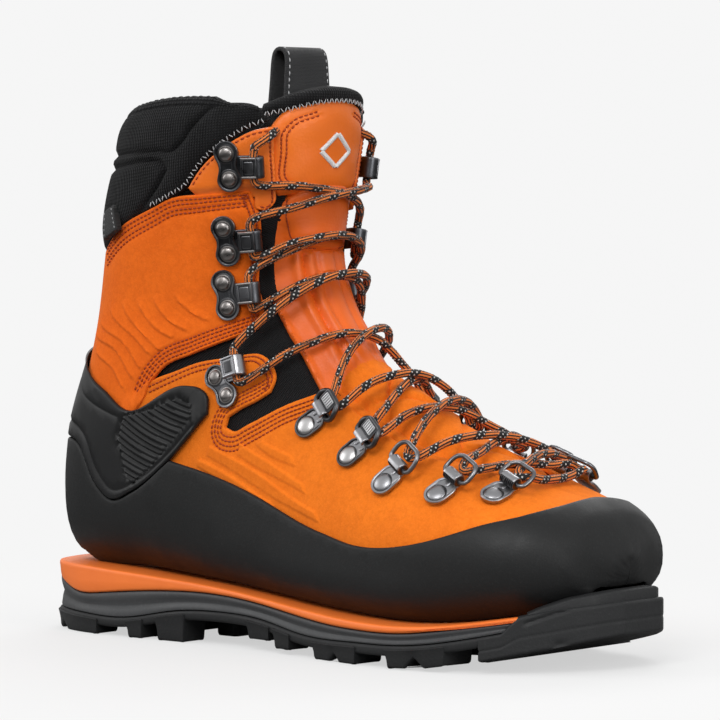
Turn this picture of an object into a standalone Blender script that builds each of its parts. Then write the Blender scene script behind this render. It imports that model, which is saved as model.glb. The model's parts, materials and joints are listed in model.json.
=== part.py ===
"""Mountaineering boot, right foot. Millimetres in the tables, metres in the scene.

Axes: +X to the toe, +Y to the inside of the foot (medial), +Z up.
Origin: on the ground plane, under the middle of the boot's outline.

The upper is a lofted last.  STATIONS holds its cross-sections from the tip of the
toe (index 0) to above the collar (index 20).  A point of the last is
last_point(along, around): along is the station index, around goes round the section,
0 at the throat, 0.25 on the lateral side, 0.5 at the bottom or the back of the heel,
0.75 (or -0.25) on the medial side.
Every leather, rubber or fabric panel is an outline of (along, around) points, cut from
the last and given a thickness along the last's normal.
"""
import math

import bmesh
import bpy
import numpy as np
from mathutils import Matrix, Vector
from mathutils.geometry import delaunay_2d_cdt

for old in list(bpy.data.objects):
    bpy.data.objects.remove(old, do_unlink=True)

MM = 0.001
ORIGIN = (-4.5, -2.05, 2.3)     # the scene's origin, in the frame of the tables
CELL = 15.0                     # target panel facet, along and round the last
LATERAL, MEDIAL = 1, -1         # sign of around on each side
SIDES = {LATERAL: "lateral", MEDIAL: "medial"}

# Layers of the upper: offset of the outer and inner face from the last
RUBBER = (2.9, 1.1)
WING_SHELL = (3.0, 0.95)
LABEL = (1.0, 0.4)
LEATHER = (0.0, -2.2)
PUFF = (-2.1, -3.4)
COUNTER = (-1.5, -3.4)
LOW_TONGUE = (-3.0, -4.6)
STRETCH = (-3.0, -4.2)
LINING = (-5.3, -6.9)
TONGUE_PADDING = (-5.2, -8.2)

# ------------------------------------------------------------------ materials
SUEDE = (0.85, 0.22, 0.02)
SMOOTH_LEATHER = (0.90, 0.25, 0.03)
RAND_BLACK = (0.028, 0.029, 0.031)
BLACK_KNIT = (0.012, 0.012, 0.013)
DARK_STEEL = (0.35, 0.35, 0.36)

# name: base colour, roughness, metallic
FINISHES = {
    "rand_rubber": (RAND_BLACK, 0.62, 0),
    "heel_rubber": (RAND_BLACK, 0.62, 0),
    "wing_tpu": ((0.03, 0.03, 0.033), 0.45, 0),
    "suede_vamp": (SUEDE, 0.85, 0),
    "puff_board": ((0.75, 0.70, 0.60), 0.7, 0),
    "counter_board": ((0.70, 0.66, 0.58), 0.7, 0),
    "bootie_membrane": ((0.03, 0.03, 0.03), 0.9, 0),
    "stretch_a": (BLACK_KNIT, 0.9, 0),
    "stretch_b": (BLACK_KNIT, 0.9, 0),
    "stretch_c": (BLACK_KNIT, 0.9, 0),
    "stretch_d": (BLACK_KNIT, 0.9, 0),
    "quarter_a": (SUEDE, 0.85, 0),
    "quarter_b": (SUEDE, 0.85, 0),
    "eyestay_a": (SMOOTH_LEATHER, 0.45, 0),
    "eyestay_b": (SMOOTH_LEATHER, 0.45, 0),
    "collar_knit": (BLACK_KNIT, 0.95, 0),
    "lining_textile": ((0.05, 0.05, 0.05), 0.9, 0),
    "label_cloth": ((0.02, 0.02, 0.02), 0.8, 0),
    "tongue_low": (SMOOTH_LEATHER, 0.45, 0),
    "tongue_leather": (SMOOTH_LEATHER, 0.42, 0),
    "tongue_lining_cloth": ((0.04, 0.04, 0.04), 0.9, 0),
    "binding_knit": (BLACK_KNIT, 0.9, 0),
    "pull_webbing": ((0.02, 0.02, 0.02), 0.8, 0),
    "wedge_foam": ((0.90, 0.20, 0.03), 0.6, 0),
    "frame_tpu": ((0.07, 0.075, 0.08), 0.5, 0),
    "outsole_rubber": ((0.03, 0.031, 0.033), 0.7, 0),
    "last_board": ((0.72, 0.66, 0.52), 0.8, 0),
    "footbed_foam": ((0.10, 0.10, 0.11), 0.9, 0),
    "shank_plate": (DARK_STEEL, 0.4, 1),
    "hook_gunmetal": ((0.09, 0.09, 0.10), 0.35, 1),
    "clip_steel": ((0.55, 0.55, 0.56), 0.3, 1),
    "ring_steel": (DARK_STEEL, 0.28, 1),
    "link_dark": ((0.10, 0.10, 0.11), 0.3, 1),
    "lace_cord": ((0.04, 0.03, 0.03), 0.8, 0),
}


def make_material(name, color, roughness, metallic):
    material = bpy.data.materials.new(name)
    material.use_nodes = True
    inputs = material.node_tree.nodes["Principled BSDF"].inputs
    inputs["Base Color"].default_value = (*color, 1)
    inputs["Roughness"].default_value = roughness
    inputs["Metallic"].default_value = metallic
    material.diffuse_color = (*color, 1)
    return material


MATERIALS = {name: make_material(name, *finish) for name, finish in FINISHES.items()}

# ------------------------------------------------------------------ the last
# throat x, z | bottom x, z | centre y | lateral, medial half width |
# height share of the widest line | roundness above, below
STATIONS = [
    (132.0, 46.0, 132.0, 42.0, 9.0, 3.0, 3.0, .50, 2.0, 2.0),
    (130.0, 53.5, 130.5, 36.5, 9.0, 20.5, 18.5, .50, 2.1, 2.3),
    (124.0, 61.0, 125.0, 31.8, 8.5, 33.0, 30.0, .46, 2.3, 2.8),
    (113.5, 67.5, 113.0, 27.6, 7.5, 43.0, 39.0, .42, 2.3, 3.4),
    (100.0, 73.5, 97.0, 24.8, 6.0, 49.0, 44.0, .39, 2.2, 4.0),
    (83.5, 81.0, 79.0, 22.8, 4.0, 52.0, 46.5, .36, 2.05, 4.5),
    (63.0, 91.0, 57.0, 22.4, 1.5, 51.5, 46.5, .33, 1.95, 5.0),
    (42.0, 103.5, 32.0, 23.8, -0.5, 48.0, 43.5, .30, 1.9, 5.0),
    (23.0, 115.0, 4.0, 26.4, -1.5, 44.0, 40.5, .30, 1.85, 5.0),
    (9.0, 125.5, -30.0, 29.6, -1.5, 41.0, 39.0, .34, 1.9, 4.6),
    (0.0, 136.0, -68.0, 32.2, -1.0, 40.0, 39.0, .42, 2.0, 4.2),
    (-6.0, 145.0, -108.0, 33.6, -0.5, 40.0, 39.5, .48, 2.0, 3.6),
    (-10.0, 154.0, -140.0, 37.0, 0.0, 40.0, 40.0, .50, 2.0, 3.0),
    (-12.5, 163.0, -147.0, 62.0, 0.0, 40.0, 40.0, .48, 2.0, 2.7),
    (-13.5, 172.0, -141.5, 97.0, 0.0, 40.0, 40.0, .46, 2.05, 2.5),
    (-13.5, 182.0, -131.5, 130.0, 0.0, 41.0, 41.0, .46, 2.1, 2.4),
    (-12.5, 193.0, -126.5, 158.0, 0.0, 42.5, 42.5, .46, 2.15, 2.35),
    (-11.5, 205.0, -121.0, 184.0, 0.0, 44.0, 44.0, .46, 2.2, 2.3),
    (-10.0, 217.0, -115.0, 206.0, 0.0, 45.0, 45.0, .46, 2.2, 2.3),
    (-8.5, 229.0, -109.0, 224.0, 0.0, 45.5, 45.5, .46, 2.2, 2.3),
    (-7.5, 241.0, -104.0, 240.0, 0.0, 46.0, 46.0, .46, 2.2, 2.3),
]
STATION_TABLE = np.array(STATIONS)
TOP_STATION = len(STATIONS) - 1
RING_POINTS = 128                       # fine grid, round the last
GRID_ROWS = TOP_STATION * 12 + 1        # fine grid, along the last
NOSE_NORMAL = np.array([0.995, 0.0, 0.1])


def natural_spline(knots, values, query):
    """Natural cubic spline through (knots, values), at query."""
    knots, values = np.asarray(knots, float), np.asarray(values, float)
    count = len(knots)
    gap = np.diff(knots)
    system = np.zeros((count, count))
    right = np.zeros((count,) + values.shape[1:])
    system[0, 0] = system[-1, -1] = 1
    for i in range(1, count - 1):
        system[i, i - 1:i + 2] = gap[i - 1], 2 * (gap[i - 1] + gap[i]), gap[i]
        right[i] = 6 * ((values[i + 1] - values[i]) / gap[i]
                        - (values[i] - values[i - 1]) / gap[i - 1])
    second = np.linalg.solve(system, right.reshape(count, -1)).reshape(right.shape)
    query = np.asarray(query, float)
    k = np.clip(np.searchsorted(knots, query) - 1, 0, count - 2)
    width = gap[k]
    before, after = (knots[k + 1] - query) / width, (query - knots[k]) / width
    spread = (slice(None),) + (None,) * (values.ndim - 1)
    return before[spread] * values[k] + after[spread] * values[k + 1] + (
        (before**3 - before)[spread] * second[k]
        + (after**3 - after)[spread] * second[k + 1]) * (width**2)[spread] / 6


def section(station):
    """Evenly spaced points round one station, from the throat down the lateral side."""
    (throat_x, throat_z, bottom_x, bottom_z, centre_y, lateral_width, medial_width,
     widest, round_above, round_below) = station
    angle = np.linspace(0, math.pi, 721)
    cosine, sine = np.cos(angle), np.abs(np.sin(angle))
    power = np.where(cosine >= 0, round_above, round_below)
    rise = np.abs(cosine) ** (2 / power)
    height = np.where(cosine >= 0, widest + (1 - widest) * rise, widest - widest * rise)
    halves = []
    for side, width in ((-1, lateral_width), (1, medial_width)):
        points = np.stack([bottom_x + height * (throat_x - bottom_x),
                           centre_y + side * width * sine ** (2 / power),
                           bottom_z + height * (throat_z - bottom_z)], 1)
        steps = np.linalg.norm(np.diff(points, axis=0), axis=1)
        run = np.concatenate([[0], np.cumsum(steps)])
        run /= run[-1]
        even = np.linspace(0, 1, RING_POINTS // 2 + 1)
        halves.append(np.stack([np.interp(even, run, points[:, k]) for k in range(3)], 1))
    return np.concatenate([halves[0][:-1], halves[1][::-1][:-1]])


def station_distances():
    """Distance of each station along the last, the mean of throat and bottom lines."""
    top, low = STATION_TABLE[:, [0, 1]], STATION_TABLE[:, [2, 3]]
    mean = 0.5 * (np.linalg.norm(np.diff(top, axis=0), axis=1)
                  + np.linalg.norm(np.diff(low, axis=0), axis=1))
    return np.concatenate([[0], np.cumsum(np.maximum(mean, 4))])


INDICES = np.arange(len(STATIONS))
DISTANCES = station_distances()
GRID_ALONG = np.linspace(0, TOP_STATION, GRID_ROWS)
GRID = natural_spline(DISTANCES, np.stack([section(s) for s in STATIONS]),
                      np.interp(GRID_ALONG, INDICES, DISTANCES))
GIRTHS = np.linalg.norm(GRID - np.roll(GRID, 1, axis=1), axis=2).sum(axis=1)


def catmull_rom(before, start, end, after, share):
    return 0.5 * ((2 * start) + (-before + end) * share
                  + (2 * before - 5 * start + 4 * end - after) * share * share
                  + (-before + 3 * start - 3 * end + after) * share**3)


def last_point(along, around):
    along, around = np.asarray(along, float), np.asarray(around, float)
    row_place = np.clip(along / TOP_STATION * (GRID_ROWS - 1), 0, GRID_ROWS - 1 - 1e-9)
    i = np.floor(row_place).astype(int)
    row_share = (row_place - i)[..., None]
    column_place = (around % 1.0) * RING_POINTS
    j = np.floor(column_place).astype(int) % RING_POINTS
    column_share = (column_place - np.floor(column_place))[..., None]

    def on_row(k):
        k = np.clip(k, 0, GRID_ROWS - 1)
        return catmull_rom(*(GRID[k, (j + d) % RING_POINTS] for d in (-1, 0, 1, 2)),
                           column_share)

    return catmull_rom(on_row(i - 1), on_row(i), on_row(i + 1), on_row(i + 2), row_share)


def last_normal(along, around):
    """Outward unit normal, turned to the nose's own direction near the tip."""
    along, around = np.asarray(along, float), np.asarray(around, float)
    step = 0.02
    clear = np.maximum(along, 0.12)
    slope_along = (last_point(np.minimum(clear + step, TOP_STATION), around)
                   - last_point(clear - step, around))
    slope_around = last_point(clear, around + 0.002) - last_point(clear, around - 0.002)
    normal = np.cross(slope_along, slope_around)
    normal /= np.linalg.norm(normal, axis=-1, keepdims=True) + 1e-12
    tip = np.clip(1 - along / 0.6, 0, 1)[..., None]
    normal = normal * (1 - tip) + NOSE_NORMAL * tip
    return normal / np.linalg.norm(normal, axis=-1, keepdims=True)


def offset_point(along, around, offset):
    return (last_point(along, around)
            + last_normal(along, around) * np.asarray(offset, float)[..., None])


def distance(along):
    return np.interp(along, INDICES, DISTANCES)


def girth(along):
    return np.interp(along, GRID_ALONG, GIRTHS)


# ------------------------------------------------------------------ the sole's tables
# x, lateral y, medial y; the toe and heel ends are flat facets
SOLE_OUTLINE = np.array([
    (-150, -16, 16), (-147, -24, 24), (-140, -31, 31), (-128, -37, 37), (-110, -40.5, 40.5),
    (-80, -41, 40), (-50, -41, 37.5), (-20, -43.5, 38), (10, -49, 42), (40, -55, 47.5),
    (62, -57.5, 51), (85, -56, 52.5), (102, -50.5, 50), (116, -41.5, 44.5), (127, -31, 37),
    (136, -18, 28), (141, -4, 20)])
# x, z of the tread's foot and of the top of each layer
Z_TREAD = [(-150, 2.3), (60, 2.3), (80, 3.2), (104, 7.0), (128, 12.6), (141, 16.4)]
Z_RUBBER = [(-150, 11.6), (-120, 10.6), (-93, 10.5), (-68, 14.6), (-42, 16.2), (-14, 14.9),
            (11, 11.2), (43, 10.8), (71, 11.6), (97, 15.2), (112, 18.4), (120, 20.4)]
Z_FRAME = [(-150, 25.0), (-143, 24.2), (-138, 23.0), (-124, 19.4), (-110, 19.8), (-79, 22.6),
           (-39, 23.2), (-8, 20.4), (24, 16.9), (49, 15.9), (71, 16.4), (93, 19.3),
           (117, 22.8), (120, 23.2)]
Z_WEDGE = [(-150, 31.6), (-118, 31.0), (-79, 29.0), (-33, 25.8), (5, 22.2), (43, 19.6),
           (65, 19.2), (93, 21.0), (117, 24.6), (120, 25.1)]
Z_WELT = [(120, 25.1), (130, 29.3), (141, 33.4)]
WELT_X = 120            # from here to the toe the outsole rises to the welt line


def linear(table, x):
    points = np.array(table, float)
    return np.interp(x, points[:, 0], points[:, 1])


def smooth(table, x):
    points = np.array(table, float)
    x = np.clip(np.asarray(x, float), points[0, 0], points[-1, 0])
    return natural_spline(points[:, 0], points[:, 1], np.atleast_1d(x)).reshape(x.shape)


def sole_line(along):
    """The lateral around at which a rubber panel reaches the top of the sole."""
    around = np.linspace(0.26, 0.499, 240)
    points = offset_point(np.full_like(around, along), around, RUBBER[0])
    x, z = points[:, 0], points[:, 2]
    sole_top = np.where(x < WELT_X, smooth(Z_WEDGE, x), linear(Z_WELT, x))
    i = int(np.argmax(z < np.maximum(sole_top + 0.7, z[-1] + 1.6)))
    return float(around[i] if i else 0.499)


# ------------------------------------------------------------------ objects and joints
JOINTS = {}             # name: empty, place in millimetres


def link(obj):
    bpy.context.scene.collection.objects.link(obj)


def add_joint(name, place):
    empty = bpy.data.objects.new(name, None)
    empty.location = (Vector(place) - Vector(ORIGIN)) * MM
    empty.empty_display_size = 0.01
    link(empty)
    JOINTS[name] = (empty, np.array(place, float))


def local_origin(joint):
    return JOINTS[joint][1] if joint else np.array(ORIGIN)


def link_to(obj, joint):
    link(obj)
    if joint:
        obj.parent = JOINTS[joint][0]


def shade(mesh, sharp=35):
    mesh.shade_smooth()
    mesh.set_sharp_from_angle(angle=math.radians(sharp))


def make_mesh(name, verts, faces, sharp=35):
    """A mesh in metres from points in millimetres, its normals facing out."""
    mesh = bpy.data.meshes.new(name)
    points = (np.asarray(verts, float) * MM).tolist()
    mesh.from_pydata(points, [], [list(map(int, face)) for face in faces])
    bm = bmesh.new()
    bm.from_mesh(mesh)
    bmesh.ops.recalc_face_normals(bm, faces=bm.faces)
    bm.to_mesh(mesh)
    bm.free()
    shade(mesh, sharp)
    return mesh


def add(name, verts, faces, material, joint=None, sharp=35):
    """One object from points in the tables' frame, relative to its joint if it has one."""
    mesh = make_mesh(name, np.asarray(verts, float) - local_origin(joint), faces, sharp)
    mesh.materials.append(MATERIALS[material])
    link_to(bpy.data.objects.new(name, mesh), joint)


def place(name, mesh, frame, joint=None):
    """One copy of a shared local mesh, set by location and rotation."""
    origin, *axes = frame
    obj = bpy.data.objects.new(name, mesh)
    obj.location = Vector((origin - local_origin(joint)) * MM)
    obj.rotation_euler = Matrix(axes).transposed().to_euler()
    link_to(obj, joint)


LOOP_JOINT = (-29.0, -2.0, 221.0)
add_joint("cuff_axis", (-76.0, 0.0, 115.0))     # the ankle flexes about this line
add_joint("tongue_axis", (-35.0, 0.0, 150.0))
add_joint("pull_loop_axis", LOOP_JOINT)

# ------------------------------------------------------------------ panel lattice
COLUMNS = 40            # fine columns round the last; the even ones are always used
FINE_ROWS = 2 * int(round(DISTANCES[-1] / (2 * CELL)))
ROWS = np.interp(np.arange(1, 2 * FINE_ROWS) * DISTANCES[-1] / (2 * FINE_ROWS),
                 DISTANCES, INDICES)
LATTICE = np.meshgrid(ROWS, np.arange(COLUMNS) / COLUMNS, indexing="ij")
LATTICE_POINTS, LATTICE_NORMALS = last_point(*LATTICE), last_normal(*LATTICE)
MAX_BEND = 24           # degrees between a lattice point's two neighbours


def needs_fine(axis):
    """Where a lattice point's two neighbours along one axis lie far apart or bend."""
    span = np.roll(LATTICE_POINTS, -1, axis) - np.roll(LATTICE_POINTS, 1, axis)
    alike = np.roll(LATTICE_NORMALS, -1, axis) * np.roll(LATTICE_NORMALS, 1, axis)
    far = np.linalg.norm(span, axis=2) > 1.55 * CELL
    return far | (alike.sum(2) < math.cos(math.radians(MAX_BEND)))


FINE_ROW, FINE_COLUMN = needs_fine(0), needs_fine(1)


# ------------------------------------------------------------------ panels on the last
def unrolled(points):
    """Points of the last laid out flat, in millimetres."""
    return np.stack([distance(points[:, 0]), girth(points[:, 0]) * points[:, 1]], 1)


def subdivided(outline):
    """The outline with its long or strongly bent edges split."""
    ring = []
    share = np.linspace(0, 1, 9)
    for k, (along, around) in enumerate(outline):
        next_along, next_around = outline[(k + 1) % len(outline)]
        run_along, run_around = next_along - along, next_around - around
        edge = along + run_along * share, around + run_around * share
        points, normals = last_point(*edge), last_normal(*edge)
        length = np.linalg.norm(np.diff(points, axis=0), axis=1).sum()
        count = max(1, int(round(length / (1.15 * CELL))))
        if max(along, next_along) > 0.5:
            bend = math.degrees(math.acos(float(np.clip(normals[0] @ normals[-1], -1, 1))))
            count = max(count, int(round(bend / 17)))
        ring += [(along + run_along * s / count, around + run_around * s / count)
                 for s in range(count)]
    return np.array(ring)


def lattice_inside(ring):
    """The lattice points inside a ring and clear of its edge."""
    start = unrolled(ring)
    end = np.roll(start, -1, 0)
    edge = end - start
    (x, y), (end_x, end_y) = start.T, end.T
    low, high = ring[:, 1].min(), ring[:, 1].max()
    inside = []
    for r, along in enumerate(ROWS):
        if not ring[:, 0].min() < along < ring[:, 0].max():
            continue
        pitch = girth(along) / COLUMNS
        step = 1 if pitch > 3.2 else 2
        for c in range(math.floor(low * COLUMNS), math.ceil(high * COLUMNS) + 1):
            column = c % COLUMNS
            if (c % step or r % 2 == 0 and not FINE_ROW[r, column]
                    or (c // step) % 2 == 1 and not FINE_COLUMN[r, column]):
                continue
            point = np.array([distance(along), girth(along) * c / COLUMNS])
            share = ((point - start) * edge).sum(1) / ((edge**2).sum(1) + 1e-9)
            nearest = start + edge * np.clip(share, 0, 1)[:, None]
            clearance = min(0.36 * CELL, 0.9 * pitch * step)
            if np.linalg.norm(nearest - point, axis=1).min() < clearance:
                continue
            crossed = ((y > point[1]) != (end_y > point[1])) & (
                point[0] < (end_x - x) * (point[1] - y) / (end_y - y + 1e-12) + x)
            if crossed.sum() % 2:
                inside.append((along, c / COLUMNS))
    return np.array(inside).reshape(-1, 2)


def triangulated(outline):
    """The (along, around) points and triangles that fill an outline."""
    ring = subdivided(outline)
    points = np.concatenate([ring, lattice_inside(ring)])
    result = delaunay_2d_cdt([Vector(p) for p in unrolled(points)], [],
                             [list(range(len(ring)))], 1, 1e-6)
    # the tip of the toe is one point
    merged = np.arange(len(points))
    tip = np.where(points[:, 0] < 1e-6)[0]
    if len(tip):
        merged[tip] = tip[0]
    triangles = [tuple(merged[result[3][i][0]] for i in f) for f in result[2]]
    triangles = [f for f in triangles if len(set(f)) == 3]
    used = sorted({i for f in triangles for i in f})
    index = {i: k for k, i in enumerate(used)}
    return points[used], [tuple(index[i] for i in f) for f in triangles]


def panel(name, outline, layer, material, joint=None):
    """A closed shell over an outline; each face's offset is a number or a function."""
    points, triangles = triangulated(outline)
    along, around = points.T
    tip = np.where(along < 1e-6)[0]
    skins = []
    for offset in layer:
        if callable(offset):
            offsets = offset(around)
        else:
            offsets = np.full(len(along), float(offset))
        skin = offset_point(along, around, offsets)
        if len(tip):
            middle = last_point(np.zeros(32), np.arange(32) / 32).mean(axis=0)
            skin[tip[0]] = middle + NOSE_NORMAL * offsets[tip[0]]
        skins.append(skin)
    count = len(points)
    faces = triangles + [tuple(i + count for i in reversed(f)) for f in triangles]
    edges = dict.fromkeys((f[k], f[(k + 1) % 3]) for f in triangles for k in range(3))
    faces += [(j, i, i + count, j + count) for i, j in edges if (j, i) not in edges]
    add(name, np.concatenate(skins), faces, material, joint)


def side_panels(name, outline, layer, materials, joint=None):
    panel(name + "_lateral", outline, layer, materials[0], joint)
    panel(name + "_medial", mirrored(outline), layer, materials[1], joint)


def mirrored(points):
    return [(along, -around) for along, around in reversed(points)]


def across_throat(points):
    """A lateral outline that stops short of the throat, and its mirror."""
    return points + mirrored(points)


def from_sole_to_throat(points):
    """A lateral outline that ends on the throat line, and its mirror."""
    return points + mirrored(points[:-1])


def around_heel(points):
    """A lateral outline that starts and ends on the back of the heel, and its mirror."""
    return points + [(along, 1 - around) for along, around in reversed(points[1:-1])]


# All outlines below are (along, around) points.
# ------------------------------------------------------------------ lower body, outside
NOSE = [(0.0, .498), (1.1, .498)]
RAND = NOSE + [(along, sole_line(along))
               for along in (1.3, 2, 3, 4, 5, 6, 7, 8, 9, 10, 10.8, 11.05)]
RAND += [(11.18, .345), (11.03, .290), (10.29, .274), (9.04, .269), (7.58, .271), (6.76, .266),
         (6.08, .252), (5.18, .228), (4.18, .195), (3.3, .158), (2.85, .100), (2.80, .040),
         (2.85, 0.0)]
panel("toe_rand", from_sole_to_throat(RAND), RUBBER, "rand_rubber")

HEEL_RAND = [
    (11.3, sole_line(11.3)), (11.32, .352), (11.6, .362), (12.2, .365), (12.98, .384),
    (13.32, .43), (13.42, .5), (13.32, .57), (12.98, .616), (12.2, .635), (11.6, .638),
    (11.32, .648), (11.3, 1 - sole_line(11.3)), (11.85, .56), (11.95, .5), (11.85, .44)]
panel("heel_rand", HEEL_RAND, RUBBER, "heel_rubber")

WING = [(14.45, .5), (14.47, .404), (13.49, .323), (12.82, .284), (11.99, .193), (11.64, .183),
        (11.19, .187), (10.88, .205), (10.98, .275), (11.32, .330), (11.62, .349), (12.2, .352),
        (13.05, .372), (13.45, .42), (13.55, .5)]
panel("heel_wing", around_heel(WING), WING_SHELL, "wing_tpu")

# the vamp leather ends in a margin about 8 mm wide under the rand and the wing
VAMP_MARGIN = [
    (2.42, 0.0), (2.42, .050), (2.50, .118), (2.95, .176), (3.9, .224), (4.9, .256),
    (5.9, .283), (6.7, .297), (7.58, .301), (9.04, .299), (10.29, .303), (10.85, .312),
    (11.12, .300), (11.20, .245), (11.38, .224), (11.65, .218), (11.95, .228), (12.66, .306),
    (12.76, .294)]
VAMP_BAND = [
    (12.93, .248), (12.62, .205), (12.32, .173), (11.74, .140), (10.99, .116), (10.45, .119),
    (10.05, .130), (9.86, .142), (9.95, .158), (10.22, .176), (10.34, .200), (10.20, .208)]
VAMP_SLOT = [(10.05, .206), (9.79, .183), (9.40, .150), (9.00, .112)]
VAMP_THROAT = [(8.86, .100), (7.71, .100), (6.63, .104), (5.86, .094), (4.86, .062),
               (4.35, .028), (4.22, 0.0)]
VAMP = VAMP_MARGIN + VAMP_BAND + VAMP_SLOT + VAMP_THROAT
panel("vamp", VAMP + mirrored(VAMP[1:-1]), LEATHER, "suede_vamp")

# ------------------------------------------------------------------ lower body, inside
TOE_PUFF = NOSE + [
    (1.6, sole_line(1.6) - .12), (2.4, sole_line(2.4) - .10), (3.2, sole_line(3.2) - .10),
    (3.2, .24), (2.55, .20), (2.12, .13), (2.05, 0.0)]
panel("toe_puff", from_sole_to_throat(TOE_PUFF), PUFF, "puff_board")

HEEL_COUNTER = [
    (11.0, .40), (11.3, .335), (11.45, .262), (11.9, .262), (12.6, .330), (13.4, .36),
    (14.2, .43), (14.25, .5), (14.2, .57), (13.4, .64), (12.6, .670), (11.9, .738),
    (11.45, .738), (11.3, .665), (11.0, .60), (11.95, .57), (12.15, .5), (11.95, .43)]
panel("heel_counter", HEEL_COUNTER, COUNTER, "counter_board")

SOCK = [(0.0, .497), (12.0, .497), (14.0, .497), (14.0, .404), (13.2, .330), (12.6, .290),
        (12.75, .250), (12.1, .185), (11.4, .152), (10.7, .150), (9.9, .150), (8.9, .140),
        (7.7, .130), (6.6, .128), (5.8, .115), (4.9, .085), (4.5, .045), (4.45, 0.0)]
panel("bootie_lower", from_sole_to_throat(SOCK), LINING, "bootie_membrane")

INSTEP_STRETCH = [(10.35, .190), (9.95, .168), (9.80, .135), (9.9, .100), (9.2, .100),
                  (8.75, .112), (9.1, .165), (9.7, .205), (10.2, .216)]
side_panels("instep_stretch", INSTEP_STRETCH, STRETCH, ("stretch_a", "stretch_b"))

# ------------------------------------------------------------------ cuff
QUARTER = [
    (16.20, .497), (16.20, .384), (16.40, .335), (16.52, .271), (16.60, .236), (16.47, .188),
    (16.22, .118), (15.37, .101), (14.57, .094), (13.24, .090), (11.98, .093), (11.86, .100),
    (12.17, .128), (12.77, .180), (13.12, .232), (13.05, .262), (12.92, .278), (13.60, .316),
    (14.0, .352), (14.62, .398), (14.60, .497)]
side_panels("quarter", QUARTER, LEATHER, ("quarter_a", "quarter_b"), "cuff_axis")

EYESTAY = [(16.36, .112), (16.60, .186), (16.72, .209), (17.20, .190), (17.65, .162),
           (18.0, .128), (18.1, .100), (17.3, .096), (16.4, .092)]
side_panels("eyestay", EYESTAY, LEATHER, ("eyestay_a", "eyestay_b"), "cuff_axis")


def collar_inner(around):
    """The collar's inner offset: thin at the front, padded round the sides and back."""
    return -2.6 - 4.2 * np.clip((np.minimum(around, 1 - around) - .170) / .02, 0, 1)


COLLAR = [
    (18.62, .5), (18.8, .42), (19.0, .32), (19.05, .24), (18.95, .18), (18.75, .125),
    (18.28, .106), (18.12, .128), (17.80, .164), (17.32, .196), (16.85, .218), (16.72, .240),
    (16.66, .271), (16.54, .335), (16.34, .384), (16.33, .5)]
panel("collar", around_heel(COLLAR), (-0.3, collar_inner), "collar_knit", "cuff_axis")

CUFF_LINING = [
    (16.1, .5), (16.1, .384), (16.3, .335), (16.4, .271), (16.3, .200), (15.4, .180),
    (13.6, .178), (12.75, .186), (12.98, .215), (13.22, .250), (13.1, .285), (13.65, .318),
    (14.1, .355), (14.7, .398), (14.68, .5)]
panel("cuff_lining", around_heel(CUFF_LINING), LINING, "lining_textile", "cuff_axis")

ANKLE_STRETCH = [(12.95, .225), (12.75, .195), (12.30, .150), (12.05, .118), (11.35, .122),
                 (11.75, .150), (12.25, .180), (12.7, .222)]
side_panels("ankle_stretch", ANKLE_STRETCH, STRETCH, ("stretch_c", "stretch_d"), "cuff_axis")

LABEL_TAB = [(16.75, .372), (16.80, .340), (16.3, .325), (16.22, .362)]
panel("label_tab", LABEL_TAB, LABEL, "label_cloth", "cuff_axis")


# ------------------------------------------------------------------ tongue
def proud(high, low, high_to=.055, low_from=.088):
    """An offset that is higher in the throat than under the quarters."""
    def offset(around):
        share = np.clip((low_from - np.abs(around)) / (low_from - high_to), 0, 1)
        return low + (high - low) * share
    return offset


TONGUE_LOWER = [(10.5, .02), (10.5, .088), (9.6, .090), (8.85, .092), (8.45, .108), (7.6, .112),
                (6.5, .112), (5.7, .100), (4.9, .072), (4.55, .030)]
panel("tongue_lower", across_throat(TONGUE_LOWER), LOW_TONGUE, "tongue_low")

TONGUE_SIDE = [(18.35, .110), (17.6, .135), (16.4, .148), (14.5, .148), (12.9, .140),
               (12.2, .118), (12.05, .06)]
panel("tongue_cover", across_throat([(18.80, .02), (18.60, .067)] + TONGUE_SIDE),
      (proud(-0.9, -3.4), proud(-2.6, -4.6)), "tongue_leather", "tongue_axis")

TONGUE_LINING = ([(18.75, .02), (18.55, .067)]
                 + [(along - .05, around - .004) for along, around in TONGUE_SIDE[:-1]]
                 + [(12.15, .05)])
panel("tongue_lining", across_throat(TONGUE_LINING), TONGUE_PADDING, "tongue_lining_cloth",
      "tongue_axis")

TONGUE_BINDING = [(19.35, .02), (19.12, .07), (18.80, .118), (18.48, .121), (18.72, .067),
                  (18.92, .02)]
panel("tongue_binding", across_throat(TONGUE_BINDING),
      (proud(-0.6, -3.1, .08, .10), TONGUE_PADDING[1]), "binding_knit", "tongue_axis")

# ------------------------------------------------------------------ pull loop
# x, z of the webbing's outer and inner faces, up one leg and down the other
LOOP_OUTER = [(-34.6, 219.0), (-34.0, 246.0), (-32.4, 249.4), (-29.4, 250.8), (-26.4, 249.4),
              (-24.8, 246.0), (-24.4, 219.0)]
LOOP_INNER = [(-32.9, 222.0), (-32.4, 245.6), (-31.2, 248.0), (-29.4, 249.0), (-27.4, 248.0),
              (-26.4, 245.6), (-26.0, 222.0)]
LOOP_HALF_WIDTH = 15.5


def add_pull_loop():
    """A closed band of webbing, its width along Y."""
    verts = [(x, y + LOOP_JOINT[1], z) for y in (-LOOP_HALF_WIDTH, LOOP_HALF_WIDTH)
             for x, z in LOOP_OUTER + LOOP_INNER]
    count = len(LOOP_OUTER)
    far = 2 * count
    faces = []
    for i in range(count):
        j = (i + 1) % count
        faces += [(i, j, count + j, count + i),
                  (far + i, far + count + i, far + count + j, far + j),
                  (i, far + i, far + j, j),
                  (count + i, count + j, far + count + j, far + count + i)]
    add("pull_loop", verts, faces, "pull_webbing", "pull_loop_axis")


add_pull_loop()


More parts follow.
